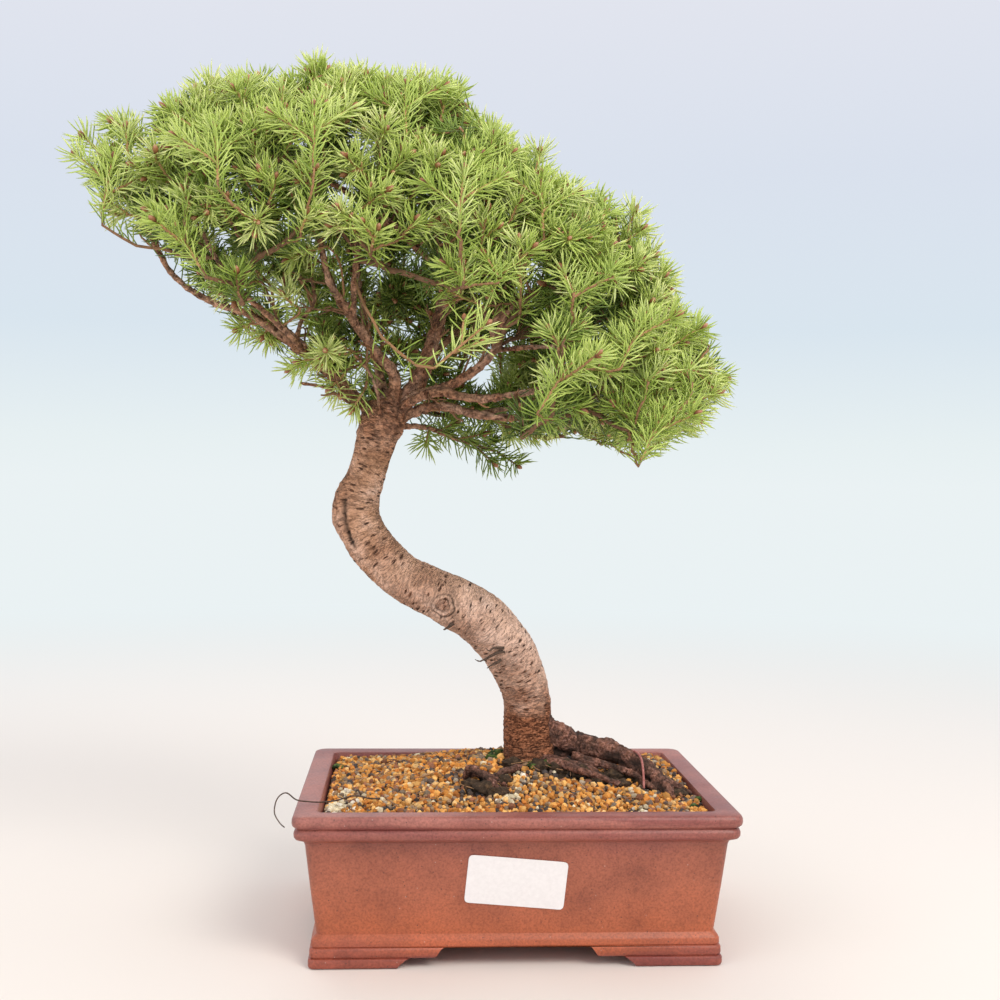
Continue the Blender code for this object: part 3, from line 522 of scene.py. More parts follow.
def run_modifiers(obj, **kinds):
    """Applies modifiers, each given as its kind and its settings."""
    for kind, settings in kinds.items():
        mod = obj.modifiers.new(kind, kind)
        for key, value in settings.items():
            setattr(mod, key, value)
    graph = bpy.context.evaluated_depsgraph_get()
    mesh = bpy.data.meshes.new_from_object(obj.evaluated_get(graph))
    obj.modifiers.clear()
    obj.data = mesh


def smooth_by_angle(obj, degrees=35):
    """Smooth shading with hard edges where faces meet at more than the angle."""
    mesh = obj.data
    mesh.shade_smooth()
    work = bmesh.new()
    work.from_mesh(mesh)
    for edge in work.edges:
        if len(edge.link_faces) == 2 and edge.calc_face_angle(0) > math.radians(degrees):
            edge.smooth = False
    work.to_mesh(mesh)
    work.free()


def face_outwards(obj):
    work = bmesh.new()
    work.from_mesh(obj.data)
    bmesh.ops.recalc_face_normals(work, faces=work.faces)
    work.to_mesh(obj.data)
    work.free()


def ring_quads(rings, sides, start=0):
    """Quads between closed rings of points that follow one another."""
    quads = []
    for ring in range(rings - 1):
        low = start + ring * sides
        for k in range(sides):
            n = (k + 1) % sides
            quads.append((low + k, low + n, low + sides + n, low + sides + k))
    return quads


def grid_quads(nx, ny):
    """Quads over a grid of points with nx by ny fields."""
    corners = [j * (nx + 1) + i for j in range(ny) for i in range(nx)]
    return [(a, a + 1, a + nx + 2, a + nx + 1) for a in corners]


def ring_tube(path, radii, sides, start=0):
    """Points and quads of an open-ended tube."""
    along, across = frames(path)
    points = []
    for p, t, s, radius in zip(path, along, across, radii):
        other = t.cross(s)
        for k in range(sides):
            a = math.tau * k / sides
            points.append(p + float(radius) * (math.cos(a) * s + math.sin(a) * other))
    return points, ring_quads(len(path), sides, start)


# Materials


def new_material(name, roughness=0.6, specular=0.5):
    made = bpy.data.materials.new(name)
    made.use_nodes = True
    shader = made.node_tree.nodes["Principled BSDF"]
    shader.inputs["Roughness"].default_value = roughness
    shader.inputs["Specular IOR Level"].default_value = specular
    return made, made.node_tree, shader


def node(tree, kind, **values):
    made = tree.nodes.new(kind)
    for key, value in values.items():
        setattr(made, key, value)
    return made


def ramp(tree, source, stops, constant=False):
    made = node(tree, "ShaderNodeValToRGB")
    made.color_ramp.interpolation = "CONSTANT" if constant else "LINEAR"
    elements = made.color_ramp.elements
    while len(elements) < len(stops):
        elements.new(0.5)
    for element, (place, colour) in zip(elements, stops):
        element.position = place
        element.color = (*colour, 1)
    tree.links.new(source, made.inputs["Fac"])
    return made.outputs["Color"]


def plug(tree, value, socket):
    """Sets a socket to a number or a colour, or links another node's output to it."""
    if isinstance(value, (int, float)):
        socket.default_value = value
    elif isinstance(value, tuple):
        socket.default_value = (*value, 1)
    else:
        tree.links.new(value, socket)


def mix(tree, factor, a, b, kind="MIX"):
    made = node(tree, "ShaderNodeMix", data_type="RGBA", blend_type=kind)
    for value, socket in ((factor, 0), (a, 6), (b, 7)):
        plug(tree, value, made.inputs[socket])
    return made.outputs[2]


def shade(tree, base, value, stops, amount=1.0):
    """The base colour, multiplied by a ramp of the value."""
    return mix(tree, amount, base, ramp(tree, value, stops), "MULTIPLY")


def arithmetic(tree, operation, *values):
    made = node(tree, "ShaderNodeMath", operation=operation)
    for value, socket in zip(values, made.inputs):
        plug(tree, value, socket)
    return made.outputs[0]


def times(tree, a, b):
    return arithmetic(tree, "MULTIPLY", a, b)


def plus(tree, a, b):
    return arithmetic(tree, "ADD", a, b)


def minus(tree, a, b):
    return arithmetic(tree, "SUBTRACT", a, b)


def noise_value(tree, place, scale, detail, roughness):
    made = node(tree, "ShaderNodeTexNoise")
    made.inputs["Scale"].default_value = scale
    made.inputs["Detail"].default_value = detail
    made.inputs["Roughness"].default_value = roughness
    tree.links.new(place, made.inputs["Vector"])
    return made.outputs["Fac"]


def cells(tree, place, scale):
    made = node(tree, "ShaderNodeTexVoronoi", feature="F1")
    made.inputs["Scale"].default_value = scale
    tree.links.new(place, made.inputs["Vector"])
    return made.outputs["Distance"]


def object_place(tree):
    return node(tree, "ShaderNodeTexCoord").outputs["Object"]


def height_of(tree, place):
    parts = node(tree, "ShaderNodeSeparateXYZ")
    tree.links.new(place, parts.inputs[0])
    return parts.outputs["Z"]


def stretched(tree, place, *scale):
    made = node(tree, "ShaderNodeMapping")
    made.inputs["Scale"].default_value = scale
    tree.links.new(place, made.inputs["Vector"])
    return made.outputs["Vector"]


def attribute(tree, name, output="Fac"):
    return node(tree, "ShaderNodeAttribute", attribute_name=name).outputs[output]


def bump(tree, shader, height, distance, strength):
    made = node(tree, "ShaderNodeBump")
    made.inputs["Strength"].default_value = strength
    made.inputs["Distance"].default_value = distance
    tree.links.new(height, made.inputs["Height"])
    tree.links.new(made.outputs["Normal"], shader.inputs["Normal"])


def map_place(tree):
    """Along and across of the map: u within a needle or grain, v its class."""
    place = node(tree, "ShaderNodeUVMap", uv_map=BAKE_MAP).outputs["UV"]
    parts = node(tree, "ShaderNodeSeparateXYZ")
    tree.links.new(place, parts.inputs[0])
    return parts.outputs["X"], parts.outputs["Y"]


def mapped_material(name, roughness, specular, base_stops, light_stops, swap=False,
                    step=None, repeats=None, constant=False):
    """A material coloured by its map: a ramp of v, made lighter or darker by a ramp of u.
    swap exchanges u and v, step parts v into so many classes, and repeats runs u so many times."""
    made, tree, shader = new_material(name, roughness, specular)
    u, v = reversed(map_place(tree)) if swap else map_place(tree)
    if step:
        v = arithmetic(tree, "DIVIDE", arithmetic(tree, "FLOOR", times(tree, v, step)), step - 1)
    base = ramp(tree, v, base_stops, constant)
    if repeats:
        u = arithmetic(tree, "FRACT", times(tree, u, repeats))
    tree.links.new(shade(tree, base, u, light_stops), shader.inputs["Base Color"])
    return made


def noisy_material(name, roughness, specular, noise_scale, detail, coarse, stops, relief=None):
    """A material coloured by one noise, with a bump of it where relief gives distance and strength."""
    made, tree, shader = new_material(name, roughness, specular)
    spread = noise_value(tree, object_place(tree), noise_scale, detail, coarse)
    tree.links.new(ramp(tree, spread, stops), shader.inputs["Base Color"])
    if relief:
        bump(tree, shader, spread, *relief)
    return made


def plain_material(name, dark, light, scale, roughness):
    return noisy_material(name, roughness, 0.35, scale, 4, 0.6, [(0.35, dark), (0.65, light)], (0.0003, 0.6))


BLACK, WHITE = (0, 0, 0), (1, 1, 1)


def needle_material():
    """Class 0 is an old, shaded needle and 1 a young one at the tips."""
    return mapped_material("spruce_needle", 0.42, 0.45, [
        (0.0, (0.095, 0.150, 0.026)), (0.22, (0.165, 0.250, 0.036)), (0.45, (0.300, 0.415, 0.068)),
        (0.70, (0.495, 0.620, 0.135)), (0.88, (0.645, 0.755, 0.240)), (1.0, (0.780, 0.835, 0.370)),
    ], [
        (0.0, (0.95, 0.86, 0.62)), (0.10, (0.92, 0.92, 0.85)), (0.55, WHITE), (1.0, (1.12, 1.06, 0.95)),
    ], step=32.0)


def stem_material():
    """Class 0 is old grey-brown wood and 1 a young orange shoot."""
    return mapped_material("shoot_bark", 0.7, 0.3, [
        (0.0, (0.165, 0.088, 0.050)), (0.35, (0.270, 0.145, 0.078)), (0.7, (0.450, 0.240, 0.115)),
        (1.0, (0.580, 0.350, 0.165)),
    ], [
        (0.0, (0.72, 0.70, 0.68)), (0.3, WHITE), (0.8, (1.05, 1.0, 0.95)), (1.0, (0.8, 0.78, 0.75)),
    ], repeats=9.0)


def bud_material():
    """Darker at the foot of each bud, and from bud to bud a little different."""
    return mapped_material("bud_scales", 0.45, 0.5, [
        (0.0, (0.150, 0.055, 0.026)), (0.35, (0.300, 0.110, 0.045)), (0.75, (0.470, 0.200, 0.095)),
        (1.0, (0.580, 0.310, 0.190)),
    ], [(0.0, (0.75, 0.7, 0.65)), (1.0, WHITE)], swap=True)


def bark_material():
    """Pinkish tan bark with dark flecks across it; the 'painted_shade' attribute paints shade into folds,
    pits, the foot and the crown.
    """
    made, tree, shader = new_material("spruce_bark", 0.8, 0.25)
    place = attribute(tree, "bark_place", "Vector")
    painted_shade, red, pale = (attribute(tree, name) for name in ("painted_shade", "redness", "paleness"))
    broad = noise_value(tree, place, 0.055, 4, 0.6)
    base = ramp(tree, broad, [
        (0.34, (0.420, 0.225, 0.130)), (0.46, (0.640, 0.365, 0.230)), (0.56, (0.780, 0.480, 0.335)),
        (0.68, (0.900, 0.620, 0.480)),
    ])
    scaly = noise_value(tree, stretched(tree, place, 0.62, 0.62, 1.15), 1.0, 5, 0.62)
    base = shade(tree, base, scaly, [
        (0.34, (0.52, 0.45, 0.40)), (0.46, (0.88, 0.85, 0.82)), (0.56, (1.10, 1.08, 1.06)),
        (0.70, (1.34, 1.32, 1.30)),
    ], 0.58)
    flecks = noise_value(tree, stretched(tree, place, 0.20, 0.20, 0.62), 1.0, 2, 0.5)
    spots = cells(tree, stretched(tree, place, 0.16, 0.16, 0.42), 1.0)
    dark = times(tree, ramp(tree, flecks, [(0.47, BLACK), (0.56, WHITE)]),
                 ramp(tree, spots, [(0.24, WHITE), (0.40, BLACK)]))
    folds = noise_value(tree, stretched(tree, place, 0.15, 0.15, 0.52), 1.0, 4, 0.62)
    cracks = arithmetic(tree, "ABSOLUTE", minus(tree, folds, 0.5))
    base = shade(tree, base, cracks, [
        (0.0, (0.30, 0.22, 0.18)), (0.012, (0.60, 0.52, 0.47)), (0.035, WHITE),
    ], 0.30)
    base = mix(tree, pale, base, (0.95, 0.68, 0.55))
    base = mix(tree, dark, base, (0.065, 0.038, 0.026))
    foot = ramp(tree, scaly, [
        (0.3, (0.080, 0.030, 0.016)), (0.46, (0.235, 0.088, 0.040)), (0.6, (0.430, 0.172, 0.084)),
        (0.78, (0.600, 0.310, 0.180)),
    ])
    foot = shade(tree, foot, cracks, [
        (0.0, (0.22, 0.16, 0.14)), (0.02, (0.62, 0.56, 0.52)), (0.06, (1.15, 1.12, 1.1)),
    ])
    old = ramp(tree, scaly, [
        (0.32, (0.050, 0.024, 0.018)), (0.46, (0.170, 0.080, 0.060)), (0.58, (0.360, 0.190, 0.155)),
        (0.74, (0.600, 0.400, 0.340)),
    ])
    foot = mix(tree, attribute(tree, "root"), foot, old)
    base = mix(tree, red, base, foot)
    # painted shade: near black mixed in by the painted_shade attribute, in folds, pits, the foot and the
    # crotch
    base = mix(tree, painted_shade, base, (0.035, 0.024, 0.018))
    tree.links.new(base, shader.inputs["Base Color"])
    height = minus(tree, plus(tree, scaly, times(tree, broad, 0.4)), times(tree, dark, 0.8))
    edge = ramp(tree, cracks, [(0.0, BLACK), (0.04, WHITE)])
    height = plus(tree, height, times(tree, edge, 0.5))
    bump(tree, shader, height, 0.0012, 0.85)
    return made


def clay_material():
    """Unglazed clay: orange-brown walls, purplish rim and foot, with fine specks."""
    made, tree, shader = new_material("brown_stoneware", 0.38, 0.5)
    place = object_place(tree)
    height = times(tree, height_of(tree, place), 1 / (POT_HEIGHT * METRE))
    clouds = noise_value(tree, stretched(tree, place, 14, 14, 22), 1.0, 4, 0.6)
    drift = plus(tree, height, times(tree, minus(tree, clouds, 0.5), 0.35))
    base = ramp(tree, drift, [
        (0.02, (0.300, 0.072, 0.043)), (0.10, (0.345, 0.084, 0.044)), (0.17, (0.408, 0.099, 0.039)),
        (0.26, (0.382, 0.096, 0.037)), (0.52, (0.375, 0.108, 0.055)), (0.74, (0.325, 0.096, 0.057)),
        (0.86, (0.290, 0.085, 0.062)), (0.99, (0.360, 0.130, 0.100)),
    ])
    blots = noise_value(tree, place, 34, 5, 0.65)
    base = shade(tree, base, blots, [(0.3, (0.66, 0.62, 0.65)), (0.5, WHITE), (0.7, (1.22, 1.20, 1.16))], 0.8)
    smears = noise_value(tree, stretched(tree, place, 11, 11, 150), 1.0, 4, 0.6)
    worn = times(tree, ramp(tree, smears, [(0.48, BLACK), (0.62, (0.75, 0.75, 0.75))]),
                 ramp(tree, height, [(0.07, WHITE), (0.19, BLACK), (0.80, BLACK), (0.86, WHITE)]))
    base = mix(tree, worn, base, (0.215, 0.050, 0.042))
    grains = noise_value(tree, place, 900, 2, 0.6)
    base = shade(tree, base, grains, [
        (0.34, (0.60, 0.56, 0.56)), (0.5, WHITE), (0.68, (1.34, 1.3, 1.3)),
    ], 0.55)
    specks = ramp(tree, cells(tree, place, 260), [(0.06, (0.8, 0.8, 0.8)), (0.11, BLACK)])
    base = mix(tree, specks, base, (0.07, 0.03, 0.025))
    pale = cells(tree, stretched(tree, place, 1.0, 1.1, 0.9), 170)
    base = mix(tree, ramp(tree, pale, [(0.03, (0.55, 0.55, 0.55)), (0.06, BLACK)]), base, (0.55, 0.42, 0.36))
    tree.links.new(base, shader.inputs["Base Color"])
    rough = node(tree, "ShaderNodeMapRange")
    rough.inputs["To Min"].default_value = 0.31
    rough.inputs["To Max"].default_value = 0.55
    tree.links.new(blots, rough.inputs["Value"])
    tree.links.new(rough.outputs[0], shader.inputs["Roughness"])
    bump(tree, shader, plus(tree, times(tree, blots, 1.4), times(tree, grains, 0.35)), 0.0006, 0.6)
    return made


GRAIN_COLOURS = (
    (0.780, 0.370, 0.090), (0.860, 0.470, 0.140), (0.680, 0.280, 0.055), (0.580, 0.205, 0.040),
    (0.820, 0.510, 0.200), (0.360, 0.225, 0.120), (0.270, 0.185, 0.120), (0.200, 0.145, 0.105),
    (0.420, 0.330, 0.230), (0.150, 0.105, 0.080), (0.075, 0.060, 0.055), (0.040, 0.032, 0.030),
    (0.800, 0.680, 0.450), (0.880, 0.800, 0.640), (0.330, 0.140, 0.070), (0.025, 0.020, 0.016),
)


def grain_material():
    """One colour for each class of v, lighter or darker with u."""
    count = len(GRAIN_COLOURS)
    return mapped_material(
        "soil_grain", 0.85, 0.3, [(k / count, colour) for k, colour in enumerate(GRAIN_COLOURS)],
        [(0.0, (0.40, 0.37, 0.35)), (0.5, (0.90, 0.90, 0.92)), (1.0, (1.25, 1.27, 1.3))], constant=True,
    )


def peat_material():
    return noisy_material("dark_peat", 0.95, 0.2, 420, 4, 0.65, [
        (0.3, (0.020, 0.014, 0.010)), (0.55, (0.075, 0.048, 0.030)), (0.75, (0.190, 0.110, 0.055)),
    ], (0.0012, 1.0))


def moss_material():
    return noisy_material("moss", 0.8, 0.2, 300, 2, 0.5, [
        (0.35, (0.020, 0.032, 0.010)), (0.5, (0.050, 0.085, 0.020)), (0.68, (0.135, 0.190, 0.045)),
    ])


def paper_material():
    stops = [(0.3, (0.81, 0.775, 0.76)), (0.7, (0.87, 0.835, 0.82))]
    return noisy_material("label_paper", 0.38, 0.5, 500, 3, 0.6, stops, (0.00008, 0.4))


# Camera, also used to keep foliage from hiding the branches that show

VIEW_YAW, VIEW_PITCH, VIEW_ROLL = 0.065, 0.013, 0.013
VIEW_PLACE = Vector((-55.6, -754.1, 242.4))
VIEW_FOCAL = 1361.9
PICTURE_HALF = 500


def view_axes():
    """Right, up and forward of the view."""
    level = math.cos(VIEW_PITCH)
    forward = Vector((math.sin(VIEW_YAW) * level, math.cos(VIEW_YAW) * level, -math.sin(VIEW_PITCH)))
    right = Vector((math.cos(VIEW_YAW), -math.sin(VIEW_YAW), 0))
    up = right.cross(forward)
    turned_right = right * math.cos(VIEW_ROLL) + up * math.sin(VIEW_ROLL)
    turned_up = up * math.cos(VIEW_ROLL) - right * math.sin(VIEW_ROLL)
    return turned_right, turned_up, forward


def seen_at(points):
    """Picture x, picture y and depth of points."""
    right, up, forward = rows_of(view_axes())
    away = np.atleast_2d(points) - np.array(VIEW_PLACE)
    depth = away @ forward
    x, y = VIEW_FOCAL * (away @ right) / depth, VIEW_FOCAL * (away @ up) / depth
    return np.column_stack([PICTURE_HALF + x, PICTURE_HALF - y, depth])


# Limbs that show from the front, and the share of each that does
SHOWN = {
    "front_left": 1, "leader": 0.38, "right_rise": 0.95, "right_stub": 1, "right_spur": 1, "right_dead": 1,
    "right_front": 0.5, "right_low": 0.45, "left_low": 0.8, "left_inner": 1, "left_twig": 1, "dead_twig": 1,
}
# The open window under the crown in the picture, and the depth before which needles would close it
SHADED_WINDOW = (
    (352, 300), (392, 318), (440, 288), (482, 300), (498, 345), (470, 378), (410, 400), (372, 372),
)
WINDOW_DEPTH = 762


def shown_places():
    """Where the limbs that show are in the picture, and their depth."""
    found = []
    for name, share in SHOWN.items():
        found += spline(LIMBS[name][0], 60)[:int(60 * share)]
    return seen_at(rows_of(found))


LIMBS_SEEN = shown_places()

# The crown's outline from the front, in picture units from its middle, each 5 degrees from the right
OUTLINE_MIDDLE = (400, 270)
OUTLINE = (
    276, 266, 262, 256, 246, 204, 188, 183, 192, 186, 174, 180, 177, 188, 200, 206, 207, 200,
    198, 205, 213, 212, 230, 232, 226, 246, 258, 280, 287, 290, 316, 348, 358, 335, 298, 255,
    236, 220, 203, 180, 173, 175, 163, 155, 152, 148, 152, 152, 149, 148, 150, 150, 150, 165,
    176, 166, 169, 190, 200, 210, 211, 210, 222, 240, 285, 313, 336, 346, 356, 345, 315, 284,
)


def outline_room(points):
    """How far inside the crown's outline each point is seen, in picture units."""
    seen = seen_at(points)
    x, y = seen[:, 0] - OUTLINE_MIDDLE[0], OUTLINE_MIDDLE[1] - seen[:, 1]
    turn = np.degrees(np.arctan2(y, x)) % 360
    edge = np.interp(turn, np.arange(0, 361, 5), np.append(OUTLINE, OUTLINE[0]))
    return edge - np.hypot(x, y)


def in_outline(x, y, outline):
    inside = np.zeros(len(x), bool)
    for (ax, ay), (bx, by) in zip(outline, outline[1:] + outline[:1]):
        crosses = (ay > y) != (by > y)
        inside ^= crosses & (x < (bx - ax) * (y - ay) / ((by - ay) or 1e-9) + ax)
    return inside


def hides_branches(points, reach):
    """Whether each point stands in front of a limb that shows, or in front of the open window."""
    seen = seen_at(points)
    hides = np.zeros(len(seen), bool)
    for start in range(0, len(seen), 4096):
        x, y, depth = (column[:, None] for column in seen[start:start + 4096].T)
        limb_x, limb_y, limb_depth = LIMBS_SEEN.T
        near = np.hypot(x - limb_x, y - limb_y) < reach
        hides[start:start + 4096] = (near & (depth < limb_depth - 1)).any(1)
    window = in_outline(seen[:, 0], seen[:, 1], SHADED_WINDOW) & (seen[:, 2] < WINDOW_DEPTH)
    return hides | window


# Foliage

NEEDLE_LENGTH = 12.9
NEEDLE_HALF_WIDTH = 0.45
NEEDLES_PER_MM = 1.8
# Clusters beside the sprays, in layers: number, millimetres below the crown's surface, needle class (young
# growth is lighter, and the deeper layers are darker as painted shade inside the crown)
EXTRA_LAYERS = ((155, 4, 0.74), (75, 26, 0.38), (70, 52, 0.15))
GROUPS = 6
# How far inside the outline a needle has to end, and the share left out before a limb that
# shows: for the extra clusters, the solids' own shoots, and the shoots placed by the picture
OUTLINE_ROOMS = (2, -14, -30)
HIDDEN_SHARES = (0.88, 0.6, 0.6)
HIDING_REACH = 6.0
TURN_PER_NEEDLE = 2.39996


class Needles:
    """Collects needles, then turns each group of them into one mesh."""

    def __init__(self):
        self.rows = []
        self.free = 0

    def along(self, path, radius, per_mm, youth_and_light, group, rng, span, tip=False, size=1.0):
        """Needles all round a path, over the span of its length; tip leans the last ones forward."""
        points = rows_of(path)
        legs = np.linalg.norm(np.diff(points, axis=0), axis=1)
        lengths = np.append(0, np.cumsum(legs))
        whole = lengths[-1]
        count = int(whole * (span[1] - span[0]) * per_mm)
        if count < 1:
            return
        share = span[0] + (span[1] - span[0]) * (np.arange(count) + rng.uniform(0, 1, count)) / count
        at = share * whole
        root = np.stack([np.interp(at, lengths, points[:, k]) for k in range(3)], 1)
        leg = np.clip(np.searchsorted(lengths, at) - 1, 0, len(legs) - 1)
        axis = (np.diff(points, axis=0) / legs[:, None])[leg]
        side = np.cross(axis, rng.normal(0, 1, 3))
        side /= np.linalg.norm(side, axis=1)[:, None]
        other = np.cross(axis, side)
        turn = np.arange(count) * TURN_PER_NEEDLE + rng.uniform(-0.35, 0.35, count)
        out = np.cos(turn)[:, None] * side + np.sin(turn)[:, None] * other
        inner = (share - span[0]) / (span[1] - span[0])
        tilt = np.radians(73 - 12 * inner + rng.normal(0, 7, count))
        if tip:
            tilt -= np.radians(32) * np.clip((inner - 0.80) / 0.20, 0, 1) * rng.uniform(0.5, 1.25, count)
        way = np.cos(tilt)[:, None] * axis + np.sin(tilt)[:, None] * out
        way += np.array([0, 0, 0.12]) * np.clip(1 - way[:, 2:], 0, 1)
        way += rng.normal(0, 0.04, (count, 3))
        way /= np.linalg.norm(way, axis=1)[:, None]
        bend = axis * rng.uniform(0.25, 1.0, count)[:, None] + rng.normal(0, 0.10, (count, 3))
        bend -= way * (bend * way).sum(1)[:, None]
        length = NEEDLE_LENGTH * size * rng.uniform(0.80, 1.10, count)
        length *= np.where(inner < 0.12, 0.8, 1.0)
        if tip:
            length *= 1 - 0.2 * np.clip((inner - 0.85) / 0.15, 0, 1)
        # needle class: young needles lighter, low values also painted shade inside the crown
        needle_youth_and_light = np.clip(youth_and_light + rng.normal(0, 0.06, count), 0, 1)
        self.rows.append(np.column_stack([
            root + radius * out, way, bend, length, needle_youth_and_light, np.full(count, group),
            np.cross(way, axis + 1e-3), np.full(count, self.free),
        ]))

    def build(self, finish, low, high):
        rng = np.random.default_rng(SEED + 9)
        rows = np.vstack(self.rows)
        ends = rows[:, 0:3] + rows[:, 9:10] * (rows[:, 3:6] + 0.35 * rows[:, 6:9])
        room = np.choose(rows[:, 15].astype(int), OUTLINE_ROOMS)
        rows = rows[np.all((ends > low) & (ends < high), axis=1) & (outline_room(ends) > room)]
        middle = rows[:, 0:3] + 0.55 * rows[:, 9:10] * rows[:, 3:6]
        share = np.choose(rows[:, 15].astype(int), HIDDEN_SHARES)
        rows = rows[~(hides_branches(middle, HIDING_REACH) & (rng.uniform(0, 1, len(rows)) < share))]
        return [self.mesh(f"needles_{group + 1}", rows[rows[:, 11] == group], finish)
                for group in range(GROUPS)]

    def mesh(self, name, rows, finish):
        count = len(rows)
        root, way, bend = rows[:, 0:3], rows[:, 3:6], rows[:, 6:9]
        length = rows[:, 9:10]
        side = rows[:, 12:15]
        side = side / np.maximum(np.linalg.norm(side, axis=1), 1e-9)[:, None]
        other = np.cross(way, side)
        points = np.empty((count, 7, 3))
        for ring, (share, width) in enumerate(((0.0, 0.85), (0.74, 0.95))):
            centre = root + length * (share * way + 0.4 * share * share * bend)
            for k in range(3):
                a = math.tau * k / 3
                out = math.cos(a) * side + math.sin(a) * other
                points[:, 3 * ring + k] = centre + NEEDLE_HALF_WIDTH * width * out
        points[:, 6] = root + length * (way + 0.4 * bend)
        start = 7 * np.arange(count)[:, None]
        quads = np.concatenate([start + np.array([k, (k + 1) % 3, 3 + (k + 1) % 3, 3 + k]) for k in range(3)])
        tris = np.concatenate([start + np.array([3 + k, 3 + (k + 1) % 3, 6]) for k in range(3)])
        stripe = (np.minimum((rows[:, 10] * 32).astype(int), 31) + 0.5) / 32
        edge = (-0.008, 0.0, 0.008)
        quad_uv, tri_uv = np.empty((3, count, 4, 2)), np.empty((3, count, 3, 2))
        for k in range(3):
            a, b = edge[k], edge[(k + 1) % 3]
            for uv, corners in ((quad_uv[k], ((0.02, a), (0.02, b), (0.74, b), (0.74, a))),
                                (tri_uv[k], ((0.74, a), (0.74, b), (0.98, (a + b) / 2)))):
                for corner, (u, shift) in enumerate(corners):
                    uv[:, corner, 0] = u
                    uv[:, corner, 1] = stripe + shift
        return big_mesh(name, points.reshape(-1, 3), quads, tris, finish, quad_uv, tri_uv)


class Stems:
    """Collects thin stems as tubes, with u along each and v its age."""

    def __init__(self):
        self.points, self.quads, self.uv = [], [], []

    def add(self, path, first, last, age, sides=5):
        count = len(path)
        radii = np.linspace(first, last, count)
        points, quads = ring_tube(path, radii, sides, len(self.points))
        turns = max(1.0, cumulative(path)[-1] / 40)
        self.points += points
        self.quads += quads
        for ring in range(count - 1):
            low, high = ring / (count - 1) / turns, (ring + 1) / (count - 1) / turns
            for k in range(sides):
                a = age + 0.02 * (k / sides - 0.5)
                b = age + 0.02 * ((k + 1) / sides - 0.5)
                self.uv += [(low, a), (low, b), (high, b), (high, a)]

    def build(self, name, finish):
        uv = np.clip(np.array(self.uv), 0.005, 0.995)
        return big_mesh(name, rows_of(self.points), np.array(self.quads), np.zeros((0, 3), int), finish,
                        uv, np.zeros((0, 3, 2)))


class Buds:
    """Pointed buds at the ends of the shoots."""

    profile = ((-0.1, 0.75), (0.30, 1.15), (0.72, 0.8))
    sides = 5

    def __init__(self):
        self.points, self.quads, self.tris, self.quad_uv, self.tri_uv = [], [], [], [], []

    def add(self, place, way, length, width, tint):
        side = way.orthogonal().normalized()
        other = way.cross(side)
        start = len(self.points)
        for share, wide in self.profile:
            for k in range(self.sides):
                a = math.tau * (k + 0.5 * share) / self.sides
                self.points.append(place + way * length * share
                                   + width * wide * (math.cos(a) * side + math.sin(a) * other))
        self.points.append(place + way * length)
        tip = len(self.points) - 1
        self.quads += ring_quads(len(self.profile), self.sides, start)
        for (low, _), (high, _) in zip(self.profile, self.profile[1:]):
            for k in range(self.sides):
                left, right = tint + 0.01 * k, tint + 0.01 * (k + 1)
                foot, head = low + 0.12, high + 0.12
                self.quad_uv.append([(foot, left), (foot, right), (head, right), (head, left)])
        a = start + (len(self.profile) - 1) * self.sides
        for k in range(self.sides):
            self.tris.append((a + k, a + (k + 1) % self.sides, tip))
            left, right = tint + 0.01 * k, tint + 0.01 * k + 0.01
            self.tri_uv.append([(0.82, left), (0.82, right), (0.99, left)])

    def build(self, name, finish):
        quad_uv, tri_uv = (np.clip(np.array(uv), 0.005, 0.995) for uv in (self.quad_uv, self.tri_uv))
        return big_mesh(name, rows_of(self.points), np.array(self.quads), np.array(self.tris), finish,
                        quad_uv, tri_uv)


def crown_places(shrink):
    """Points over the dome, drawn in towards the fork, each with its direction."""
    low, high = CROWN[0][0], CROWN[-1][0]
    found = []
    for i in range(int((high - low) / 4) + 1):
        x = low + 4 * i
        for turn in range(-96, 97, 3):
            if turn < OPEN_TURN + 4 and OPEN_FRONT[0] < x < OPEN_FRONT[1]:
                continue
            p = crown_point(x, turn)
            away = (p - CROTCH).normalized()
            way = (0.75 * crown_normal(x, turn) + 0.5 * away + 0.25 * UP).normalized()
            found.append((p - away * shrink, way))
    return found


def beyond_crown(points):
    """About how far each point lies outside the crown's surface, in millimetres."""
    points = np.atleast_2d(points)
    xs, top, rim, depth = (np.array(row, float) for row in zip(*CROWN))
    x, y, z = points.T
    high, low, deep = (np.interp(x, xs, row) for row in (top, rim, depth))
    rise = np.maximum(z - low, 0) / (high - low)
    reach = np.hypot(y / deep, rise)
    return (reach - 1) * np.minimum(deep, 60)


def shoot_group(x):
    low, high = CROWN[0][0], CROWN[-1][0]
    return int(max(0, min(GROUPS - 1, (x - low) / (high - low) * GROUPS)))


def crooked(path, count, dice, amount):
    """The path with small kinks, its ends kept."""
    smooth = spline(path, count)
    for k in range(1, count - 1):
        smooth[k] = smooth[k] + shaken(dice, amount)
    return smooth


# The shoot before the fork, which the front left limb carries
FORK_SHOOT = Vector((-45, -93, 297))


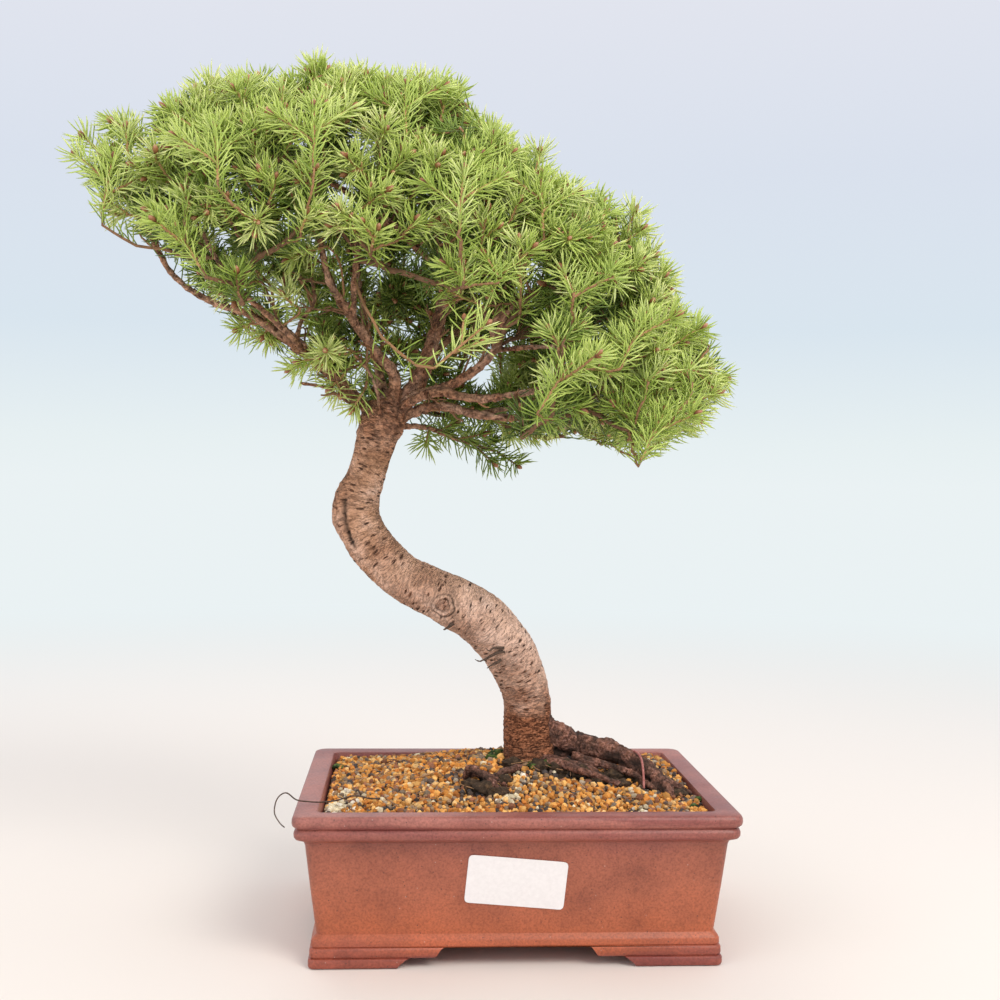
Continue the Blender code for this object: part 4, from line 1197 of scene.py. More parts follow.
class Twigs:
    """The twigs that carry the shoots, each on the one before, thicker where it carries more."""

    def __init__(self):
        self.paths, self.parents = [], []
        self.nodes = [(p, way, -1) for p, way, _ in limb_nodes()]

    def reach(self, base, way, dice):
        """A twig from the best of the nearest places to base that hides no branch."""
        costs = [(twig_cost(node, base, way, 10, 0.1, 30), k) for k, node in enumerate(self.nodes)]
        if (base - FORK_SHOOT).length < 6:
            led = [(cost, k) for cost, k in costs if self.nodes[k][2] < 0 and self.nodes[k][0].x < CROTCH.x]
            costs = [min(led, key=lambda item: (self.nodes[item[1]][0] - base).length)]
        costs.sort()
        best = None
        for cost, k in costs[:22]:
            p, t, owner = self.nodes[k]
            path = twig_path(p, t, base, way)
            hidden = hides_branches(rows_of(spline(path, 8)), HIDING_REACH)[2:].sum()
            costs_hidden = cost + 24 * hidden
            if best is None or costs_hidden < best[0]:
                best = (costs_hidden, path, owner)
        path = crooked(best[1], 8, dice, 0.7)
        number = len(self.paths)
        self.paths.append(path)
        self.parents.append(best[2])
        for p, q in zip(path[1:], path[2:]):
            self.nodes.append((p.lerp(q, 0.5), (q - p).normalized(), number))
        return number, path

    def build(self, stems, dice):
        carried = [1] * len(self.paths)
        for k in range(len(self.paths) - 1, -1, -1):
            if self.parents[k] >= 0:
                carried[self.parents[k]] += carried[k]
        for path, load in zip(self.paths, carried):
            first = min(1.75, 0.62 + 0.24 * math.sqrt(load))
            last = 0.70 if load == 1 else max(0.72, first * 0.75)
            age = max(0.06, 0.62 - 0.16 * math.sqrt(load)) + 0.14 * dice.random()
            stems.add(path, first, last, age, 6 if load > 3 else 4)


def ends_of(shoots):
    return rows_of(end for _, end in shoots)


def drawn_in(shoots, step):
    """The shoots, moved by a step towards the crown's middle."""
    back = (CROWN_MIDDLE - shoots[0][1]).normalized() * step
    return [(p + back, q + back) for p, q in shoots]


def moved_in(shoots, room):
    """The shoots, moved in until the crown's outline has room for their needles."""
    for _ in range(8):
        if outline_room(ends_of(shoots)).min() > room:
            break
        shoots = drawn_in(shoots, 2)
    return shoots


def side_shoot(root, way, side, angle, reach):
    """A shoot from root, turned from way towards side by the angle in degrees."""
    angle = math.radians(angle)
    return root, root + reach * (way * math.cos(angle) + side * math.sin(angle))


# Shoots that show from the front: tip and base in the picture, share towards the viewer, and
# for some the depth
SEEN_SHOOTS = (
    (82, 135, 100, 156, 0.2), (126, 126, 128, 152, 0.0), (102, 172, 112, 182, 0.6),
    (132, 165, 180, 182, 0.5), (160, 132, 208, 160, 0.1), (212, 80, 213, 120, 0.0),
    (196, 90, 200, 138, 0.1), (248, 80, 242, 128, 0.0), (224, 121, 232, 138, 0.6),
    (268, 122, 264, 140, 0.5), (282, 90, 280, 130, 0.0), (302, 126, 284, 148, 0.4),
    (253, 145, 258, 190, 0.3), (208, 190, 226, 216, 0.7), (195, 218, 206, 212, 0.8),
    (258, 222, 250, 212, 0.95), (276, 176, 266, 200, 0.5), (298, 165, 310, 185, 0.7),
    (160, 218, 172, 206, 0.6), (115, 212, 142, 216, 0.1), (150, 155, 160, 168, 0.4),
    (104, 155, 116, 168, 0.2), (314, 64, 320, 95, 0.0), (342, 84, 346, 112, 0.1),
    (350, 76, 347, 100, 0.0), (366, 74, 362, 100, 0.0), (387, 80, 386, 118, 0.1),
    (420, 78, 419, 120, 0.0), (458, 88, 430, 138, 0.1), (447, 92, 440, 120, 0.1),
    (322, 100, 322, 132, 0.3), (382, 118, 376, 165, 0.4), (345, 156, 366, 172, 0.8),
    (412, 153, 380, 175, 0.4), (442, 153, 412, 188, 0.4), (494, 134, 486, 164, 0.0),
    (513, 152, 490, 170, 0.2), (540, 150, 534, 172, 0.0), (551, 182, 530, 210, 0.1),
    (541, 196, 528, 214, 0.4), (339, 208, 352, 226, 0.8), (308, 212, 300, 226, 0.6),
    (388, 190, 360, 205, 0.5), (417, 218, 402, 232, 0.6), (449, 212, 452, 224, 0.7),
    (488, 208, 481, 250, 0.3), (520, 200, 508, 224, 0.3), (378, 228, 372, 240, 0.7),
    (472, 166, 455, 182, 0.4), (463, 156, 456, 170, 0.6), (519, 238, 521, 286, 0.3),
    (562, 226, 524, 246, 0.3), (587, 220, 580, 242, 0.0), (602, 230, 590, 246, 0.2),
    (636, 210, 627, 234, 0.0), (643, 228, 624, 242, 0.1), (612, 245, 532, 292, 0.3),
    (643, 260, 600, 286, 0.2), (656, 255, 640, 264, 0.1), (665, 275, 646, 287, 0.0),
    (664, 297, 636, 315, 0.1), (637, 322, 655, 335, 0.7), (696, 336, 660, 350, 0.0),
    (666, 351, 640, 356, 0.3), (710, 369, 682, 373, 0.2), (728, 378, 704, 372, 0.0),
    (222, 293, 247, 282, 0.4, -30), (282, 293, 292, 303, 0.7, -40), (440, 287, 478, 302, 0.2, -34),
    (287, 260, 318, 246, 0.3, -45), (184, 232, 207, 264, 0.1, 0), (640, 385, 606, 393, 0.4, -45),
    (639, 437, 620, 405, 0.2, -35), (660, 432, 645, 418, 0.1, -20), (668, 390, 648, 393, 0.4, -40),
    (642, 370, 620, 352, 0.3, -45), (680, 420, 662, 411, 0.2, -15), (699, 419, 683, 402, 0.1, -15),
    (600, 420, 585, 405, 0.1, -10), (560, 428, 548, 410, 0.0, 15), (262, 338, 272, 322, 0.1, -5),
    (236, 330, 252, 322, 0.0, -5), (330, 388, 345, 372, 0.3, 0), (318, 358, 332, 350, 0.5, -20),
    (352, 410, 362, 392, 0.2, 0), (246, 262, 262, 276, 0.3, -20),
)


def line_of_sight(x, y):
    """The direction of a picture place, one unit deep."""
    right, up, forward = view_axes()
    return forward + right * ((x - PICTURE_HALF) / VIEW_FOCAL) + up * ((PICTURE_HALF - y) / VIEW_FOCAL)


def seen_shoots(dice):
    """The shoots that show, each just inside the crown's front, with side shoots on the longer ones."""
    forward = view_axes()[2]
    found = []
    for x, y, base_x, base_y, towards, *depth in SEEN_SHOOTS:
        sight = line_of_sight(x, y)
        if depth:
            deep = (depth[0] - VIEW_PLACE.y) / sight.y
        else:
            steps = np.arange(600, 900, 3.0)
            beyond = beyond_crown(np.array(VIEW_PLACE) + steps[:, None] * np.array(sight))
            inside = np.nonzero(beyond < -6)[0]
            deep = steps[inside[0]] if len(inside) else steps[int(beyond.argmin())]
        tip = VIEW_PLACE + sight * float(deep)
        back = VIEW_PLACE + line_of_sight(base_x, base_y) * float(deep) - tip
        flat = max(back.length, 3.0)
        base = tip + back + forward * (flat * towards / max(0.35, math.sqrt(1 - min(0.9, towards) ** 2)))
        way = (tip - base).normalized()
        length = max(12.0, min(46.0, (tip - base).length))
        base = tip - way * length
        shoots = [(base, tip)]
        turn = dice.uniform(0, math.tau)
        for n in range(1 if length < 16 else 2 if length < 30 else 4):
            root = base.lerp(tip, dice.uniform(0.15, 0.62))
            side, angle = sideways(way, turn + 2.4 * n), dice.uniform(38, 58)
            shoot = side_shoot(root, way, side, angle, dice.uniform(7, 12))
            if outline_room(ends_of([shoot]))[0] > 8:
                shoots.append(shoot)
        found.append((shoots, way))
    return found


def cluster(tip, way, dice):
    """A leader with side shoots all round it, moved in until the crown's outline has room."""
    way = (way + shaken(dice, 0.35)).normalized()
    length = dice.choice((10, 12, 13, 15, 18, 24)) * dice.uniform(0.85, 1.15)
    base = tip - way * (length + TIP_REACH)
    flat = sideways(way, dice.uniform(0, math.pi))
    shoots = [(base, base + way * length)]
    for n, share in enumerate((0.02, 0.2, 0.42, 0.6)[:dice.choice((2, 2, 3, 4))]):
        side = Matrix.Rotation(n * 2.2 + dice.uniform(-0.5, 0.5), 3, way) @ flat
        root = base.lerp(shoots[0][1], share)
        shoots.append(side_shoot(root, way, side, dice.uniform(42, 66), dice.uniform(8, 14)))
    slack, room = dice.uniform(2, 7), dice.choice((15, 20, 26, 32))
    for _ in range(9):
        ends = ends_of(shoots)
        if beyond_crown(ends).max() + 9 - slack < 0 and outline_room(ends).min() > room:
            return shoots, way
        shoots = drawn_in(shoots, 4)
    return None, way


def grow_foliage(sprays):
    """The solids' shoots with finer needles, and the finer shoots that fill the crown."""
    rng = np.random.default_rng(SEED)
    dice = random.Random(SEED + 1)
    needles, stems, buds = Needles(), Stems(), Buds()
    groups = {}
    tips, plans = [], []
    for number, spray in enumerate(sprays):
        groups.setdefault(shoot_group(spray["shoots"][0][1].x), []).append(f"spray_{number + 1:02d}")
        shoots = moved_in(spray["shoots"], 9.0)
        plans.append((shoots, spray["way"], 0.72, 1))
        tips += list(ends_of(shoots))
    for shoots, way in seen_shoots(dice):
        end = np.array(shoots[0][1])
        if min(np.linalg.norm(end - tip) for tip in tips) > 3:
            tips.append(end)
            plans.append((shoots, way, 0.80, 2))
    for count, shrink, youth_and_light in EXTRA_LAYERS:
        found = crown_places(shrink)
        places = rows_of(p for p, _ in found)
        for k in even_spread(places, tips, count):
            tips.append(places[k])
            shoots, way = cluster(*found[k], dice)
            if shoots and hides_branches(rows_of(p.lerp(q, 0.5) for p, q in shoots), 9.0).sum() < 2:
                plans.append((shoots, way, youth_and_light, 0))
    plans.sort(key=lambda plan: (plan[0][0][0] - CROTCH).length)
    twigs = Twigs()
    for shoots, way, youth_and_light, free in plans:
        needles.free = free
        base, end = shoots[0]
        number, twig = twigs.reach(base, way, dice)
        twigs.nodes.append((base.lerp(end, 0.4), way, number))
        group = shoot_group(end.x)
        clothed = 26 if end.z > 325 else 55
        bare = max(0.0, 1 - clothed / cumulative(twig)[-1])
        # the twigs' needles a class darker: painted shade inside the crown
        needles.along(twig, 0.8, 1.0, youth_and_light - 0.25, group, rng, (bare, 1.0))
        for start, end in shoots:
            clothe_shoot(start, end, group, needles, stems, buds, rng, dice, youth_and_light)
    twigs.build(stems, dice)
    needles.free = 0
    clothe_limbs(needles, stems, buds, rng, dice)
    return needles, stems, buds, groups


def add_dead(stems, dice, points, count, amount, first, last, ages, sides=4):
    """A crooked dead twig through the points."""
    path = crooked(points, count, dice, amount)
    stems.add(path, first, last, dice.uniform(*ages), sides)
    return path


def clothe_limbs(needles, stems, buds, rng, dice):
    """Old needles on the limbs' outer parts, the low branch's shoots, and short dead twigs."""
    for points, _, _, grows in LIMBS.values():
        path = spline(points, 24)
        if grows:
            # dark needles on the limbs: old ones, darkened further as painted shade inside the crown
            needles.along(path, 1.3, 0.55, 0.3, shoot_group(path[-1].x), rng, (0.55, 1.0), size=0.9)
    low = spline(LIMBS["droop"][0], 24)
    needles.free = 2
    needles.along(low, 1.2, 0.9, 0.28, shoot_group(low[-1].x), rng, (0.3, 1.0))
    for k in range(9, 24, 2):
        way = (low[min(k + 1, 23)] - low[k - 1]).normalized()
        turn = dice.uniform(-0.9, 0.9) + (math.pi if k % 4 == 1 else 0)
        side = Matrix.Rotation(turn, 3, way) @ way.cross(UP)
        tip = low[k] + (way * 0.8 + side.normalized()) * dice.uniform(9, 14)
        clothe_shoot(low[k], tip, shoot_group(low[-1].x), needles, stems, buds, rng, dice, 0.36)
    nodes = [node for node in limb_nodes() if 296 < node[0].z < 400]
    for _ in range(70):
        start, way, _ = dice.choice(nodes)
        out = (start - CROTCH).normalized() * 0.6 + way * 0.5 + shaken(dice)
        tip = start + out.normalized() * dice.uniform(16, 42)
        end = rows_of([tip])
        if outline_room(end)[0] < 30 or beyond_crown(end)[0] > -12:
            continue
        bent = [start, start.lerp(tip, 0.5) + UP * dice.uniform(-3, 3), tip]
        dead = add_dead(stems, dice, bent, 7, 0.8, 0.85, 0.4, (0.04, 0.4))
        for place, after in zip(dead[2:5:2], dead[3:6:2]):
            fork = place + (after - place).cross(shaken(dice)).normalized() * 4
            fork += (tip - start) * dice.uniform(0.15, 0.35)
            add_dead(stems, dice, [place, place.lerp(fork, 0.5), fork], 4, 0.4, 0.55, 0.32, (0.04, 0.4))
    for name in SHOWN:
        path = spline(LIMBS[name][0], 40)
        for _ in range(5 if len(LIMBS[name][0]) > 5 else 2):
            k = dice.randrange(6, 38)
            way = (path[k + 1] - path[k - 1]).normalized()
            side = sideways(way, dice.uniform(0, math.tau))
            reach = dice.uniform(5, 17)
            tip = path[k] + (way * dice.uniform(0.2, 1.0) + side + UP * 0.4).normalized() * reach
            bent = [path[k], path[k].lerp(tip, 0.5) + side * 0.8, tip]
            dead = add_dead(stems, dice, bent, 6, 0.5, 0.95, 0.45, (0.2, 0.6), 5)
            if reach > 12:
                start = dead[3]
                out = (way.cross(side) * dice.choice((-1, 1)) + way * 0.6 + side * 0.5).normalized()
                fork = start + out * reach * 0.4
                add_dead(stems, dice, [start, start.lerp(fork, 0.5), fork], 4, 0.3, 0.6, 0.35, (0.2, 0.6))


def clothe_shoot(start, end, group, needles, stems, buds, rng, dice, youth_and_light):
    """A shoot's stem, its needles and the buds at its end."""
    way = (end - start).normalized()
    bow = shaken(dice) * 1.2
    path = [start, start.lerp(end, 0.35) + bow * 0.5, start.lerp(end, 0.7) + bow * 0.4, end - way * 1.5]
    path = spline(path, 5)
    stems.add(path, 0.9, 0.65, min(0.98, youth_and_light + dice.uniform(-0.1, 0.22)), 4)
    shade = youth_and_light + dice.uniform(-0.14, 0.14)
    needles.along(path, 0.55, NEEDLES_PER_MM, shade, group, rng, (0.02, 1.0), tip=True)
    tuft = (1 - 3 / (end - start).length, 1.0)
    needles.along(path, 0.5, 3.4 * NEEDLES_PER_MM, shade + 0.05, group, rng, tuft, tip=True)
    buds.add(end - way * 1.2, way, dice.uniform(3.8, 5.4), dice.uniform(1.2, 1.65), dice.uniform(0.05, 0.9))
    if dice.random() < 0.3:
        side = sideways(way, dice.uniform(0, math.tau))
        place, lean = end - way * 2.0 + side * 0.5, (way + side * 0.8).normalized()
        buds.add(place, lean, dice.uniform(2.3, 3.4), dice.uniform(0.8, 1.1), dice.uniform(0.05, 0.9))


# Wood

# Scars on the trunk: place, radius, height of the swelling
CALLUSES = (
    ((-94, 6, 234), 7.5, 1.5), ((-97, 8, 217), 8.0, 1.6), ((-94, 6, 198), 7.0, 1.2),
    ((-70, -6, 205), 9.0, 0.8), ((-24, -8, 158), 8.0, 0.9), ((-60, -7, 178), 8.0, 0.7),
    ((-64, 2, 262), 7.0, 1.0), ((-86, 6, 264), 6.0, 0.9),
    ((2, 0, 140), 7.0, 0.8), ((24, 6, 96), 8.0, 1.2), ((0, 4, 98), 7.0, 1.0),
    ((-60, 6, 268), 5.5, 2.0), ((-97, 9, 226), 7, 1.3), ((-90, 10, 247), 5, -1.1), ((-88, 9, 187), 5, -0.9),
    ((-84, 4, 274), 6, 1.2), ((-46, -4, 186), 6, 0.7), ((30, 2, 118), 7, 0.8),
)
# The healed knot: its middle, its ring's radius, and the dark lines round it, painted shade in the
# grooves beside the ring, each with its darkness, how much that varies, turns and phase of that,
# place beside the ring and half width
KNOT = (Vector((-37.6, -9, 174.3)), 4.9)
KNOT_LINES = ((0.72, 0.2, 1, 2.2, 1.4, 0.6), (0.5, 0.2, 2, 0.0, -1.3, 0.45), (0.2, 0.15, 1, 1.0, 3.6, 0.5))
# Pits in the bark: place and radius; each is sunk and darkened with painted shade
PITS = (((-73, -1, 231), 2.6), ((-91, 2, 247), 1.8), ((-14, -7, 149), 1.8), ((-82, -1, 190), 1.6))
# The fissure beside the callus: its line is sunk and darkened with painted shade
FISSURE = ((-92, 1, 233), (-92, 1, 222), (-90, 0, 213), (-87, -1, 206))
VOXEL = 1.25
PATH_STEP = 1.5

# Roots that only the scene has: the trunk's flare and thin ones over the peat
SURFACE_ROOTS = (
    (((14, 13, 118), (20, 13, 108), (27, 13, 100), (37, 13, 95)), 5.5, 7.5),
    (((22, -6, 88), (30, -14, 88), (40, -22, 86), (52, -27, 83), (62, -28, 79)), 2.8, 1.4),
    (((36, 0, 90), (46, -8, 89), (57, -13, 87), (68, -20, 84), (77, -31, 78)), 2.6, 1.4),
    (((8, -4, 84), (2, -14, 86), (-6, -21, 85), (-13, -27, 80)), 2.4, 1.4),
    (((-23, -22, 86), (-15, -22, 85), (-7, -26, 82), (0, -33, 77)), 2.2, 1.3),
    (((82, -26, 81), (89, -26, 80), (97, -31, 76)), 2.0, 1.3),
)


def fine_path(points, radii, spacing):
    """A smooth path and its radii, with the same radii as given at the given points."""
    whole = cumulative([Vector(p) for p in points])[-1]
    count = max(6, int(whole / spacing))
    path = spline(points, count)
    along = cumulative(path)
    marks = []
    for p in points:
        k = min(range(count), key=lambda i: (path[i] - Vector(p)).length)
        marks.append(along[k])
    smooth = np.interp(along, marks, radii)
    for _ in range(3):
        smooth[1:-1] = (smooth[:-2] + smooth[1:-1] + smooth[2:]) / 3
    return path, smooth


def closed_tube(name, path, radii, sides):
    points, quads = ring_tube(path, radii, sides)
    faces = [*quads, tuple(reversed(range(sides))), tuple(range(len(points) - sides, len(points)))]
    return mesh_object(name, points, faces)


def wood_paths():
    """Each limb of the wood: kind, path and radii. Kind 0 is trunk, 1 limb and 2 root."""
    points, radii = [p for p, _ in TRUNK], [r for _, r in TRUNK]
    found = [(0, *fine_path(points, radii, PATH_STEP))]
    for points, first, last, _ in LIMBS.values():
        along = cumulative([Vector(p) for p in points])
        radii = first + (last - first) * along / along[-1]
        path = limb_path(points)
        lengths = cumulative(path)
        path, radii = fine_path(path, np.interp(lengths / lengths[-1], along / along[-1], radii), PATH_STEP)
        radii = np.maximum(radii * 0.88, 1.15)
        if first > 3:
            radii = radii + 1.0 * np.exp(-cumulative(path) / 6)
        found.append((1, path, radii))
    for name, (points, first, last) in ROOTS.items():
        count = 4 if name.startswith("buried") else 6
        radii = first + (last - first) * np.linspace(0, 1, count)
        found.append((2, *fine_path(spline(points, count), radii, PATH_STEP)))
    for points, first, last in SURFACE_ROOTS:
        found.append((2, *fine_path(spline(points, 8), np.linspace(first, last, 8), PATH_STEP)))
    return found


def nearest_wood(points, paths):
    """Each point's straightened place along and round its nearest path, and that path's kind and radius."""
    centres, sides, others, lengths, radii, kinds = [], [], [], [], [], []
    for number, (kind, path, wide) in enumerate(paths):
        along, across = frames(path)
        centres += path
        sides += across
        others += [t.cross(s) for t, s in zip(along, across)]
        lengths += list(cumulative(path) + 40 * number)
        radii += list(wide)
        kinds += [kind] * len(path)
    centres, sides, others = map(rows_of, (centres, sides, others))
    lengths, radii, kinds = map(np.array, (lengths, radii, kinds))
    best = np.empty(len(points), int)
    for start in range(0, len(points), 2048):
        block = points[start:start + 2048]
        apart = np.sqrt(np.maximum(((block ** 2).sum(1)[:, None] + (centres ** 2).sum(1)[None]
                                    - 2 * block @ centres.T), 0)) - radii[None]
        best[start:start + 2048] = apart.argmin(1)
    away = points - centres[best]
    ahead = np.cross(sides[best], others[best])
    x, y = (away * sides[best]).sum(1), (away * others[best]).sum(1)
    length = lengths[best] + (away * ahead).sum(1)
    return np.column_stack([x, y, length]), kinds[best], radii[best]


def within(value, low, high):
    return max(low, min(high, value))


def bell(apart, reach):
    """One at no distance, falling off smoothly over the reach."""
    return np.exp(-(apart / reach) ** 2)


def lumpy(place, across, along, roughness=0.9):
    """Fractal noise at a straightened place, so coarse across and along its path."""
    x, y, s = place
    return noise.fractal(Vector((x * across, y * across, s * along)), roughness, 2.0, 3)


def bark_shape(points, places, kinds, radii):
    """How far each point stands out, how much painted shade darkens its bark in folds, pits and at the foot,
    and how red its bark is.
    """
    count = len(points)
    rise, painted_shade, red = np.zeros(count), np.zeros(count), np.zeros(count)
    for k in range(count):
        place = places[k]
        x, y, s = place
        kind = kinds[k]
        z = points[k][2]
        lumps = lumpy(place, 0.07, 0.055, 1.0)
        folds = lumpy(place, 0.16, 0.62)
        grain = noise.noise(Vector((x * 0.9, y * 0.9, s * 1.5)))
        if kind == 0:
            collar = within((z + 10 * lumps - 258) / 14, 0.0, 1.0)
            scales = lumpy(place, 0.30, 0.26) if collar > 0 else 0
            rise[k] = 0.75 * lumps + (0.34 + 0.3 * (z < 125)) * folds + 0.10 * grain + 1.3 * collar * scales
            red[k] = min(1.0, max(0.7 * collar, (138 + 20 * lumps - z) / 32))
            # painted shade on the trunk: darker towards the soil, and between the scales below the crotch
            painted_shade[k] = within((96 + 9 * folds - z) / 14, 0.0, 0.85) * 0.75
            painted_shade[k] = max(painted_shade[k], collar * within(0.15 - 0.8 * scales, 0.0, 0.6))
        elif kind == 1:
            knobs = noise.noise(Vector((x * 0.5, y * 0.5, s * 0.42)))
            scales = lumpy(place, 0.42, 0.26)
            rise[k] = min(0.75, radii[k] * 0.26) * (0.9 * knobs + 0.9 * scales) - 0.1
            red[k] = within(0.45 + 0.6 * lumps, 0.1, 0.9)
            # painted shade between the limb's scales
            painted_shade[k] = within(0.16 - 0.7 * scales, 0.0, 0.7)
        else:
            gnarl = lumpy(place, 0.13, 0.10, 0.8)
            rise[k] = min(1.4, radii[k] * 0.28) * (1.1 * gnarl + 0.5 * folds) + 0.12 * grain
            red[k] = 1.0
            # painted shade in the root's folds
            painted_shade[k] = within(0.36 - 0.9 * gnarl, 0.05, 0.9)
    for place, reach, height in CALLUSES:
        apart = np.linalg.norm(points - np.array(place), axis=1)
        rise += height * bell(apart, reach) * (kinds == 0)
        red = np.maximum(red, 0.45 * bell(apart, 12))
    centre, ring = KNOT
    away = points - np.array(centre)
    angle = np.arctan2(away[:, 2], away[:, 0])
    apart = np.linalg.norm(away, axis=1) + 0.32 * np.sin(3 * angle + 1.0) + 0.22 * np.sin(5 * angle)
    rise += bell(apart - ring, 0.9) - 0.5 * bell(apart, 2.6)
    rise += 0.25 * np.cos(apart * 2.9) * bell(apart, 8.0)
    # painted shade in the grooves beside the knot's raised ring
    for dark, varies, turns, phase, beside, half_width in KNOT_LINES:
        line = (dark + varies * np.sin(turns * angle + phase)) * bell(apart - ring - beside, half_width)
        painted_shade = np.maximum(painted_shade, line)
    red = np.maximum(red, 0.5 * np.exp(-(apart / 4.0) ** 4))
    for place, reach in PITS:
        apart = np.linalg.norm(points - np.array(place), axis=1)
        rise -= 0.9 * bell(apart, reach)
        # painted shade in the pits
        painted_shade = np.maximum(painted_shade, 0.85 * bell(apart, reach))
    for p, q in zip(FISSURE, FISSURE[1:]):
        p, q = np.array(p, float), np.array(q, float)
        share = np.clip(((points - p) @ (q - p)) / ((q - p) @ (q - p)), 0, 1)
        apart = np.linalg.norm(points - p - share[:, None] * (q - p), axis=1)
        rise += 0.45 * bell(apart - 3.0, 1.3) - 0.8 * bell(apart, 1.6)
        # painted shade in the fissure
        painted_shade = np.maximum(painted_shade, 0.85 * bell(apart, 1.5))
    return rise, painted_shade, red


def store(mesh, name, values):
    """Keeps a number or a vector for each of the mesh's points."""
    kind, field = ("FLOAT", "value") if values.ndim == 1 else ("FLOAT_VECTOR", "vector")
    layer = mesh.attributes.new(name, kind, "POINT")
    layer.data.foreach_set(field, np.ascontiguousarray(values, np.float32).ravel())


def read(items, field):
    """A vector of each of a mesh's items, as rows."""
    values = np.empty(len(items) * 3)
    items.foreach_get(field, values)
    return values.reshape(-1, 3)


def refine(mesh, places, reach):
    """Halves the mesh's spacing round some places."""
    work = bmesh.new()
    work.from_mesh(mesh)
    places = [Vector(place) for place in places]
    near = {v for v in work.verts if min((v.co - place).length for place in places) < reach}
    edges = [e for e in work.edges if e.verts[0] in near and e.verts[1] in near]
    bmesh.ops.subdivide_edges(work, edges=edges, cuts=1, use_grid_fill=True)
    work.to_mesh(mesh)
    work.free()


def build_wood(finish):
    """Trunk, limbs and roots grown into one skin, with its bark."""
    paths = wood_paths()
    tubes = [closed_tube("limb", path, radii, 32 if kind == 0 else 14) for kind, path, radii in paths]
    wood = join(tubes, "bark")
    run_modifiers(wood, REMESH={"mode": "VOXEL", "voxel_size": VOXEL},
                  SMOOTH={"factor": 0.5, "iterations": 2})
    mesh = wood.data
    spots = [KNOT[0]] + [place for place, _ in PITS] + list(FISSURE)
    refine(mesh, spots, 9)
    refine(mesh, spots, 6.5)
    points = read(mesh.vertices, "co")
    places, kinds, radii = nearest_wood(points, paths)
    rise, painted_shade, red = bark_shape(points, places, kinds, radii)
    points = points + read(mesh.vertex_normals, "vector") * (rise + 0.12)[:, None]
    mesh.vertices.foreach_set("co", points.ravel())
    places = np.where((kinds >= 1)[:, None], places * np.array([1.3, 1.3, 0.5]), places)
    store(mesh, "bark_place", places)
    # painted shade in folds, pits and at the foot
    store(mesh, "painted_shade", np.clip(painted_shade, 0, 1))
    store(mesh, "paleness", 0.44 * bell(points[:, 2] - 150, 44) * (kinds == 0) * (points[:, 0] > -75))
    store(mesh, "root", 0.62 * (kinds == 2) * (points[:, 2] < 122))
    store(mesh, "redness", np.clip(red, 0, 1))
    dress(wood, finish)
    mesh.update()
    return wood, paths


# Splinters of dead bark: the peeling stub under the bend and smaller ones on the trunk
FLAKES = (
    ([(-3, -4, 149), (-8, -8, 148.5), (-13, -10, 146), (-17, -9, 144), (-19.5, -8, 145)], 1.1, 0.25),
    ([(-4, -6, 151), (-9, -9, 151.5), (-12, -10, 150), (-14, -10, 151.5)], 0.9, 0.2),
    ([(-5, -4, 144), (-10, -7, 142), (-13, -8, 140)], 0.9, 0.25),
    ([(-86, 7, 236), (-92, 6, 236.5), (-97, 5, 236)], 1.3, 0.35),
    ([(-28, -3, 168), (-33, -6, 163.5), (-37, -7, 161)], 1.6, 0.4),
)


def build_flakes(finish):
    made = []
    for points, first, last in FLAKES:
        path, radii = fine_path(points, np.linspace(first, last, len(points)), 0.8)
        made.append(closed_tube("flake", path, radii, 7))
    return dress(join(made, "bark_flakes", 0.35), finish)


def build_curl(name, points, count, first, last, finish):
    """A thin bent root through the points."""
    return dress(closed_tube(name, spline(points, count), np.linspace(first, last, count), 8), finish)


# Pot


def rounded_rectangle(half_x, half_y, radius, z, segments=8):
    points = []
    for quarter, (sx, sy) in enumerate(((1, 1), (-1, 1), (-1, -1), (1, -1))):
        centre = Vector((sx * (half_x - radius), sy * (half_y - radius), z))
        for k in range(segments + 1):
            a = math.radians(90 * (quarter + k / segments))
            points.append(centre + radius * Vector((math.cos(a), math.sin(a), 0)))
    return points


# Levels of the pot: inset from the rim, corner radius, height
POT_OUTSIDE = (
    (FOOT_INSET + FOOT_DEPTH + 1, 6, FLOOR_BOTTOM), (FOOT_INSET + FOOT_DEPTH, 6, 0),
    (FOOT_INSET + 1.2, 3, 0), (FOOT_INSET + 0.3, 3.4, 0.3), (FOOT_INSET, 3.5, 1.2),
    (FOOT_INSET, 3.5, TIER_HEIGHT - 1.1), (FOOT_INSET + 0.4, 3.5, TIER_HEIGHT - 0.3),
    (FOOT_INSET + 1.4, 3.5, TIER_HEIGHT), (FOOT_INSET + 0.9, 3.5, TIER_HEIGHT + 0.5),
    (FOOT_INSET + 0.6, 3.5, TIER_HEIGHT + 1.3), (FOOT_INSET + 0.6, 3.5, FOOT_HEIGHT - 1.1),
    (FOOT_INSET + 1.0, 3.5, FOOT_HEIGHT - 0.3), (FOOT_INSET + 1.9, 3.5, FOOT_HEIGHT + 0.1),
    (FOOT_INSET + 1.3, 3.5, FOOT_HEIGHT + 0.8), (FOOT_INSET + 1.3, 3.5, 13.2), (FOOT_INSET + 1.9, 3.5, 14.4),
    (12.0, 4, 16.2), (8.9, 4.5, 40.0), (6.3, 5, 61.5), (5.6, 5, 63.6), (3.4, 5.5, 64.8), (1.7, 6, 65.5),
    (1.0, 6, 66.7), (0.9, 6, 68.4), (1.4, 6, 69.9), (2.5, 6, 70.8), (1.2, 6, 71.4), (0.3, 6, 72.4),
    (0.0, 6, 73.8), (0.1, 6, 75.6), (0.7, 6, 76.9), (1.8, 6, POT_HEIGHT),
)
